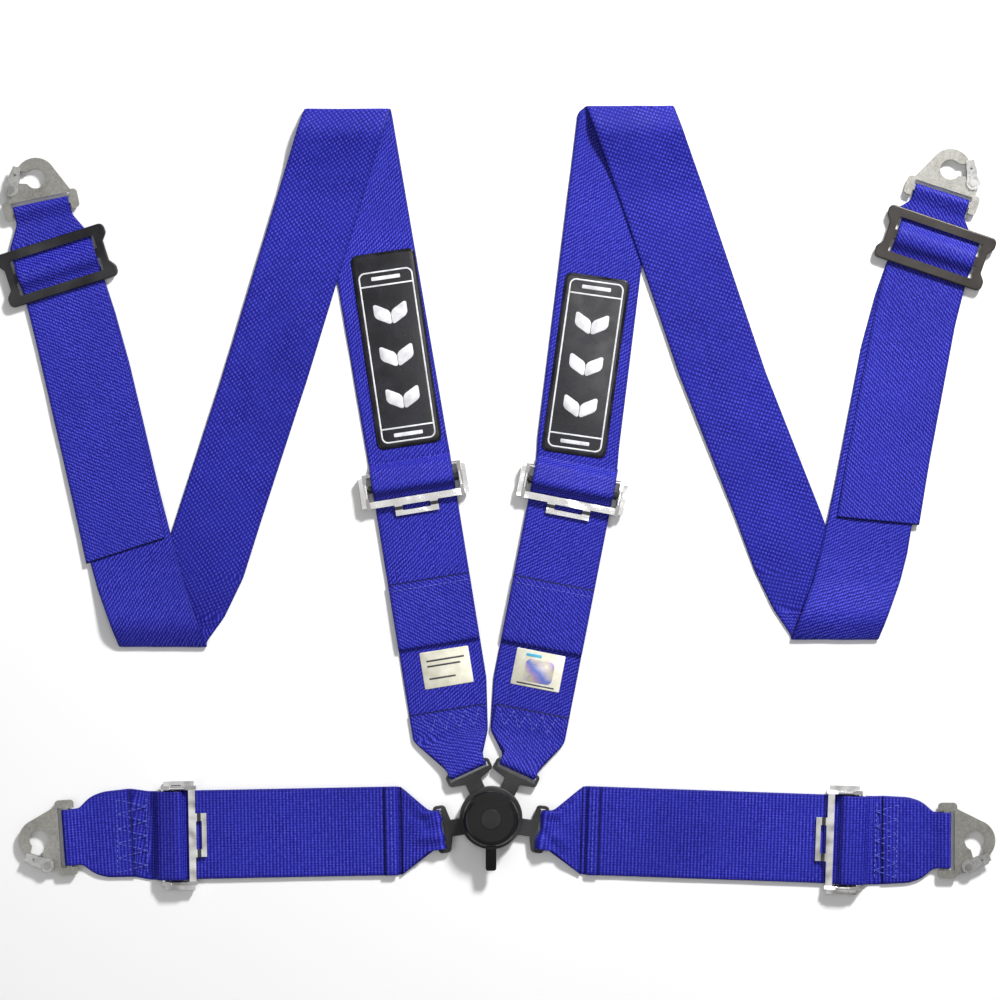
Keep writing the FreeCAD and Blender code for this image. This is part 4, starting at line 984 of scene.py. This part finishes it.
def make_badge(strap):
    """Moulded patch with a white outline, end bars and a generic row of chevrons."""
    layout = STRAPS[strap]
    place = Place(layout["badge"], layout["badge_heading"])
    half = layout["badge_length"] / 2
    plate = ringed(f"{strap}_badge_patch", place, half, BADGE_HALF, BADGE_CORNER, BADGE_RINGS,
                   [PATCH])
    blank = LEFT_BADGE_BLANK if strap == "shoulder_left" else 0.0
    frame_half = half - OUTLINE_INSET - blank / 2
    shift = -blank / 2
    pieces = [ringed(f"{strap}_badge_outline", place, frame_half, BADGE_HALF - OUTLINE_INSET,
                     BADGE_CORNER, OUTLINE_RINGS, [WHITE_INK], (shift, 0), filled=False)]
    pieces += badge_bars(strap, "end_bar", place, shift, frame_half, END_BAR)
    pieces += badge_chevrons(strap, place, shift, frame_half)
    pieces += badge_bars(strap, "small_bar", place, shift, frame_half, SMALL_BAR)
    for piece in pieces + [plate]:
        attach(piece, layout["body"])
    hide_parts(f"{strap}_badge")


# The label: half sizes, corners, rings, and its marks as name, centre, half sizes, height, ink.
LABEL_HALF = (16.5, 22.0)
LABEL_CORNER = 1.2
LABEL_RINGS = ((0.2, 1.3), (0.0, 1.75), (0.2, 1.95))
FOIL_MARKS = (
    ("foil", (-1.5, -1.0), 10.5, 13.0, 1.8, FOIL),
    ("strip", (12.0, 6), 1.4, 7.0, 1.85, CYAN_INK),
    ("print", (-14.0, 0), 0.7, 17.0, 1.85, DARK_INK),
)
PRINT_MARKS = (
    ("print_0", (8.0, 0.0), 0.8, 17.0, 1.85, DARK_INK),
    ("print_1", (3.2, 2.0), 0.8, 15.0, 1.85, DARK_INK),
    ("print_2", (-8.0, 5.0), 0.8, 12.0, 1.85, DARK_INK),
)


def make_label(strap):
    """Sewn-on label with generic lines of print."""
    layout = STRAPS[strap]
    place = Place(layout["label"], layout["heading"])
    is_foil = strap == "shoulder_right"
    plate = ringed(f"{strap}_label_sheet", place, *LABEL_HALF, LABEL_CORNER, LABEL_RINGS, [CREAM])
    marks = [raised_mark(f"{strap}_label_{name}", place, centre, half_x, half_y, height, ink)
             for name, centre, half_x, half_y, height, ink
             in (FOIL_MARKS if is_foil else PRINT_MARKS)]
    for piece in marks + [plate]:
        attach(piece, layout["body"])
    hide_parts(f"{strap}_label")


# ---------------------------------------------------------------- the straps

def make_strap_webbing(strap, seed):
    """The four ribbons of one strap, two of them at the adjuster."""
    layout, place = STRAPS[strap], adjuster_place(strap)
    body, frame_body = layout["body"], f"{strap}_frame"
    shoulder = strap in SHOULDERS
    face = TWILL if shoulder else RIBBED

    lower = ribbon(f"{strap}_lower", lower_webbing_keys(strap), face, seed=seed,
                   crumple=0.0 if shoulder else LAP_CRUMPLE)
    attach(lower, body)
    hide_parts(f"{strap}_webbing_lower")

    tail = ribbon(f"{strap}_tail", tail_keys(strap), face, seed=seed + 3, wave=0.3)
    turn = ribbon(f"{strap}_turn", turn_keys(strap), face, seed=seed + 5, wave=0.12)
    for piece in (tail, turn):
        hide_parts(f"{strap}_webbing_tail")
    place.at(-62) * MM
    place.at(-20) * MM
    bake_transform(tail)
    place.at(-1) * MM
    place.at(17) * MM
    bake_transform(turn)

    if shoulder:
        main = ribbon(f"{strap}_main", main_strap_keys(strap), face, BRICK, BACK_LENGTH,
                      seed=seed + 9, wave=0.45)
        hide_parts(*(f"{strap}_webbing_{part}" for part in ("inner", "outer", "anchor")))
    else:
        main = ribbon(f"{strap}_main", lap_main_keys(strap), face, seed=seed + 9)
        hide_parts(f"{strap}_webbing_main")
    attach(main, body)


STITCH_MARGIN = 3
HEM_ROW_INSET = 6.5


def make_strap_stitches(strap):
    """A row on the tail's hem, and the zigzags that hold the strap's sewn ends."""
    layout, place = STRAPS[strap], adjuster_place(strap)
    half = half_width(strap) - STITCH_MARGIN
    hem_top = HEM_HEIGHT + LYING + 0.25
    hem_x = -layout["hem_x"]
    row_x = hem_x + layout["hem_length"] - HEM_ROW_INSET
    rows = stitch_line([place.at(row_x, -half, hem_top), place.at(row_x, half, hem_top)])
    if strap in SHOULDERS:
        back = -layout["full_width_x"] + layout["turned_back"]
        top = THICK * 2.1 + 0.2
        rows += stitch_line(zigzag(place, back - 18, back - 3, half - 8, top, 8))
    else:
        reach = (hook_place(strap).origin - place.origin).length
        top = THICK * 2.2
        near, far = 26, reach - 44
        rows += stitch_line(zigzag(place, near, far, half - 4, top, 10))
        for x in (near, far):
            rows += stitch_line([place.at(x, -half + 3, top), place.at(x, half - 3, top)])
    sewn(f"{strap}_stitches", rows, layout["body"])


# ---------------------------------------------------------------- pin spring

PIN_SPRING = dict(radius=16.5, wire=0.6, low=12.7, high=15.8, turns=2.0, top=16.4, lift=2.0,
                  sides=8, steps=96)


def make_pin_spring():
    """Coil above the lock pins."""
    coil = PIN_SPRING
    verts, faces, sides, steps = [], [], coil["sides"], coil["steps"]
    for step in range(steps + 1):
        share = step / steps
        angle = 2 * math.pi * coil["turns"] * share
        outward = Vector((math.cos(angle), math.sin(angle), 0))
        middle = outward * coil["radius"]
        middle.z = coil["low"] + (coil["high"] - coil["low"]) * share
        for corner in range(sides):
            turn = 2 * math.pi * corner / sides
            verts.append(middle + outward * math.cos(turn) * coil["wire"]
                         + Vector((0, 0, math.sin(turn) * coil["wire"])))
    for step in range(steps):
        for corner in range(sides):
            a, b = step * sides + corner, step * sides + (corner + 1) % sides
            faces.append((a, a + sides, b + sides, b))
    faces.append(tuple(range(sides)))
    faces.append(tuple(steps * sides + corner for corner in reversed(range(sides))))
    spring = make_object("lock_spring_coil", verts, faces, [SPRING])
    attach(spring, "knob")
    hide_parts("pin_spring")
    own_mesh(spring)


# ---------------------------------------------------------------- materials of CAD nodes

NODE_MATERIALS = {
    "buckle_base": BODY, "buckle_housing": BODY, "centre_post": STEEL, "housing_screws": STEEL,
    "release_knob": KNOB, "knob_cap": CAP, "knob_spring": SPRING, "lock_pins": STEEL,
    "pin_spring": SPRING, "tongue": TONGUE, "adjuster_frame": CHROME, "adjuster_bar": KNURLED,
    "hook": ZINC, "gate": GATE, "gate_rivet": STEEL, "gate_spring": SPRING,
}


def paint_cad_nodes():
    """Gives every carried-over CAD node its procedural material."""
    for name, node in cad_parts.items():
        part = name
        for strap in STRAPS:
            part = part.removeprefix(f"{strap}_")
        if part == "slider":
            material = SLIDER_LEFT if name.startswith("shoulder_left") else SLIDER_RIGHT
        else:
            material = NODE_MATERIALS.get(part)
        if material:
            for slot in node.material_slots:
                slot.material = material


# ---------------------------------------------------------------- stage, light and camera

FLOOR_REACH = 3000.0
FLOOR_CELLS = 8
FLOOR_HEIGHT = -0.4


def make_floor():
    """Plain pale paper under the harness."""
    nodes = Nodes("floor_paper", roughness=0.9)
    tone = nodes.noise(3.0)
    nodes.colour(nodes.ramp(tone, [(0.0, (0.88, 0.88, 0.88)), (1.0, (0.92, 0.92, 0.92))]))
    lines = [-FLOOR_REACH + 2 * FLOOR_REACH * i / FLOOR_CELLS for i in range(FLOOR_CELLS + 1)]
    verts = [Vector((x, y, FLOOR_HEIGHT)) for y in lines for x in lines]
    row = len(lines)
    faces = [(j * row + i, j * row + i + 1, (j + 1) * row + i + 1, (j + 1) * row + i)
             for j in range(FLOOR_CELLS) for i in range(FLOOR_CELLS)]
    make_object("floor", verts, faces, [nodes.material], smooth=False)


# Each lamp: name, place in metres, size and power. All aim at the harness's middle.
LAMPS = (
    ("key", (1.15, 2.15, 1.6), 0.45, 108.0),
    ("fill", (-1.6, -0.6, 2.2), 1.8, 9.0),
    ("overhead", (0.35, 0.85, 3.3), 0.9, 9.0),
)
AIM = (0.0, 0.28, 0.0)


def add_area_light(name, place, size, power):
    light = bpy.data.lights.new(name, "AREA")
    light.shape = "DISK"
    light.size = size
    light.energy = power
    lamp = bpy.data.objects.new(name, light)
    lamp.location = place
    lamp.rotation_euler = (Vector(AIM) - Vector(place)).to_track_quat("-Z", "Y").to_euler()
    bpy.context.scene.collection.objects.link(lamp)


# Brightness of the studio's walls and ceiling, from the horizon to straight up.
STUDIO_SKY = ((0.0, 0.10), (0.35, 0.05), (0.5, 0.42), (0.72, 0.48), (0.9, 0.12),
              (0.975, 0.16), (0.996, 0.85))

# The camera looks straight down: the middle of its view, its height and the view's width.
VIEW_CENTRE = (0.008, 0.283)
VIEW_HEIGHT = 3.0
VIEW_WIDTH = 0.893
SENSOR = 36.0


def make_sky():
    """Soft walls and ceiling that the metal reflects."""
    world = bpy.data.worlds.new("studio")
    world.use_nodes = True
    tree = world.node_tree
    direction = tree.nodes.new("ShaderNodeTexCoord")
    split = tree.nodes.new("ShaderNodeSeparateXYZ")
    sky = tree.nodes.new("ShaderNodeValToRGB")
    tree.links.new(direction.outputs["Generated"], split.inputs[0])
    tree.links.new(split.outputs[2], sky.inputs[0])
    tree.links.new(sky.outputs[0], tree.nodes["Background"].inputs[0])
    stops = sky.color_ramp.elements
    while len(stops) < len(STUDIO_SKY):
        stops.new(0.5)
    for stop, (place, grey) in zip(stops, STUDIO_SKY):
        stop.position = place
        stop.color = (grey, grey, grey, 1.0)
    tree.nodes["Background"].inputs[1].default_value = 1.0
    bpy.context.scene.world = world


def add_camera():
    camera = bpy.data.cameras.new("camera")
    camera.sensor_width = SENSOR
    camera.lens = SENSOR * VIEW_HEIGHT / VIEW_WIDTH
    camera.dof.use_dof = False
    eye = bpy.data.objects.new("camera", camera)
    eye.location = (*VIEW_CENTRE, VIEW_HEIGHT)
    bpy.context.scene.collection.objects.link(eye)
    bpy.context.scene.camera = eye
    bpy.context.scene.view_settings.view_transform = "Standard"


paint_cad_nodes()
for number, strap_name in enumerate(STRAPS):
    make_strap_webbing(strap_name, seed=number * 20.0)
    make_strap_stitches(strap_name)
make_pin_spring()
for strap_name in SHOULDERS:
    make_badge(strap_name)
    make_label(strap_name)
make_floor()
make_sky()
for lamp_settings in LAMPS:
    add_area_light(*lamp_settings)
add_camera()
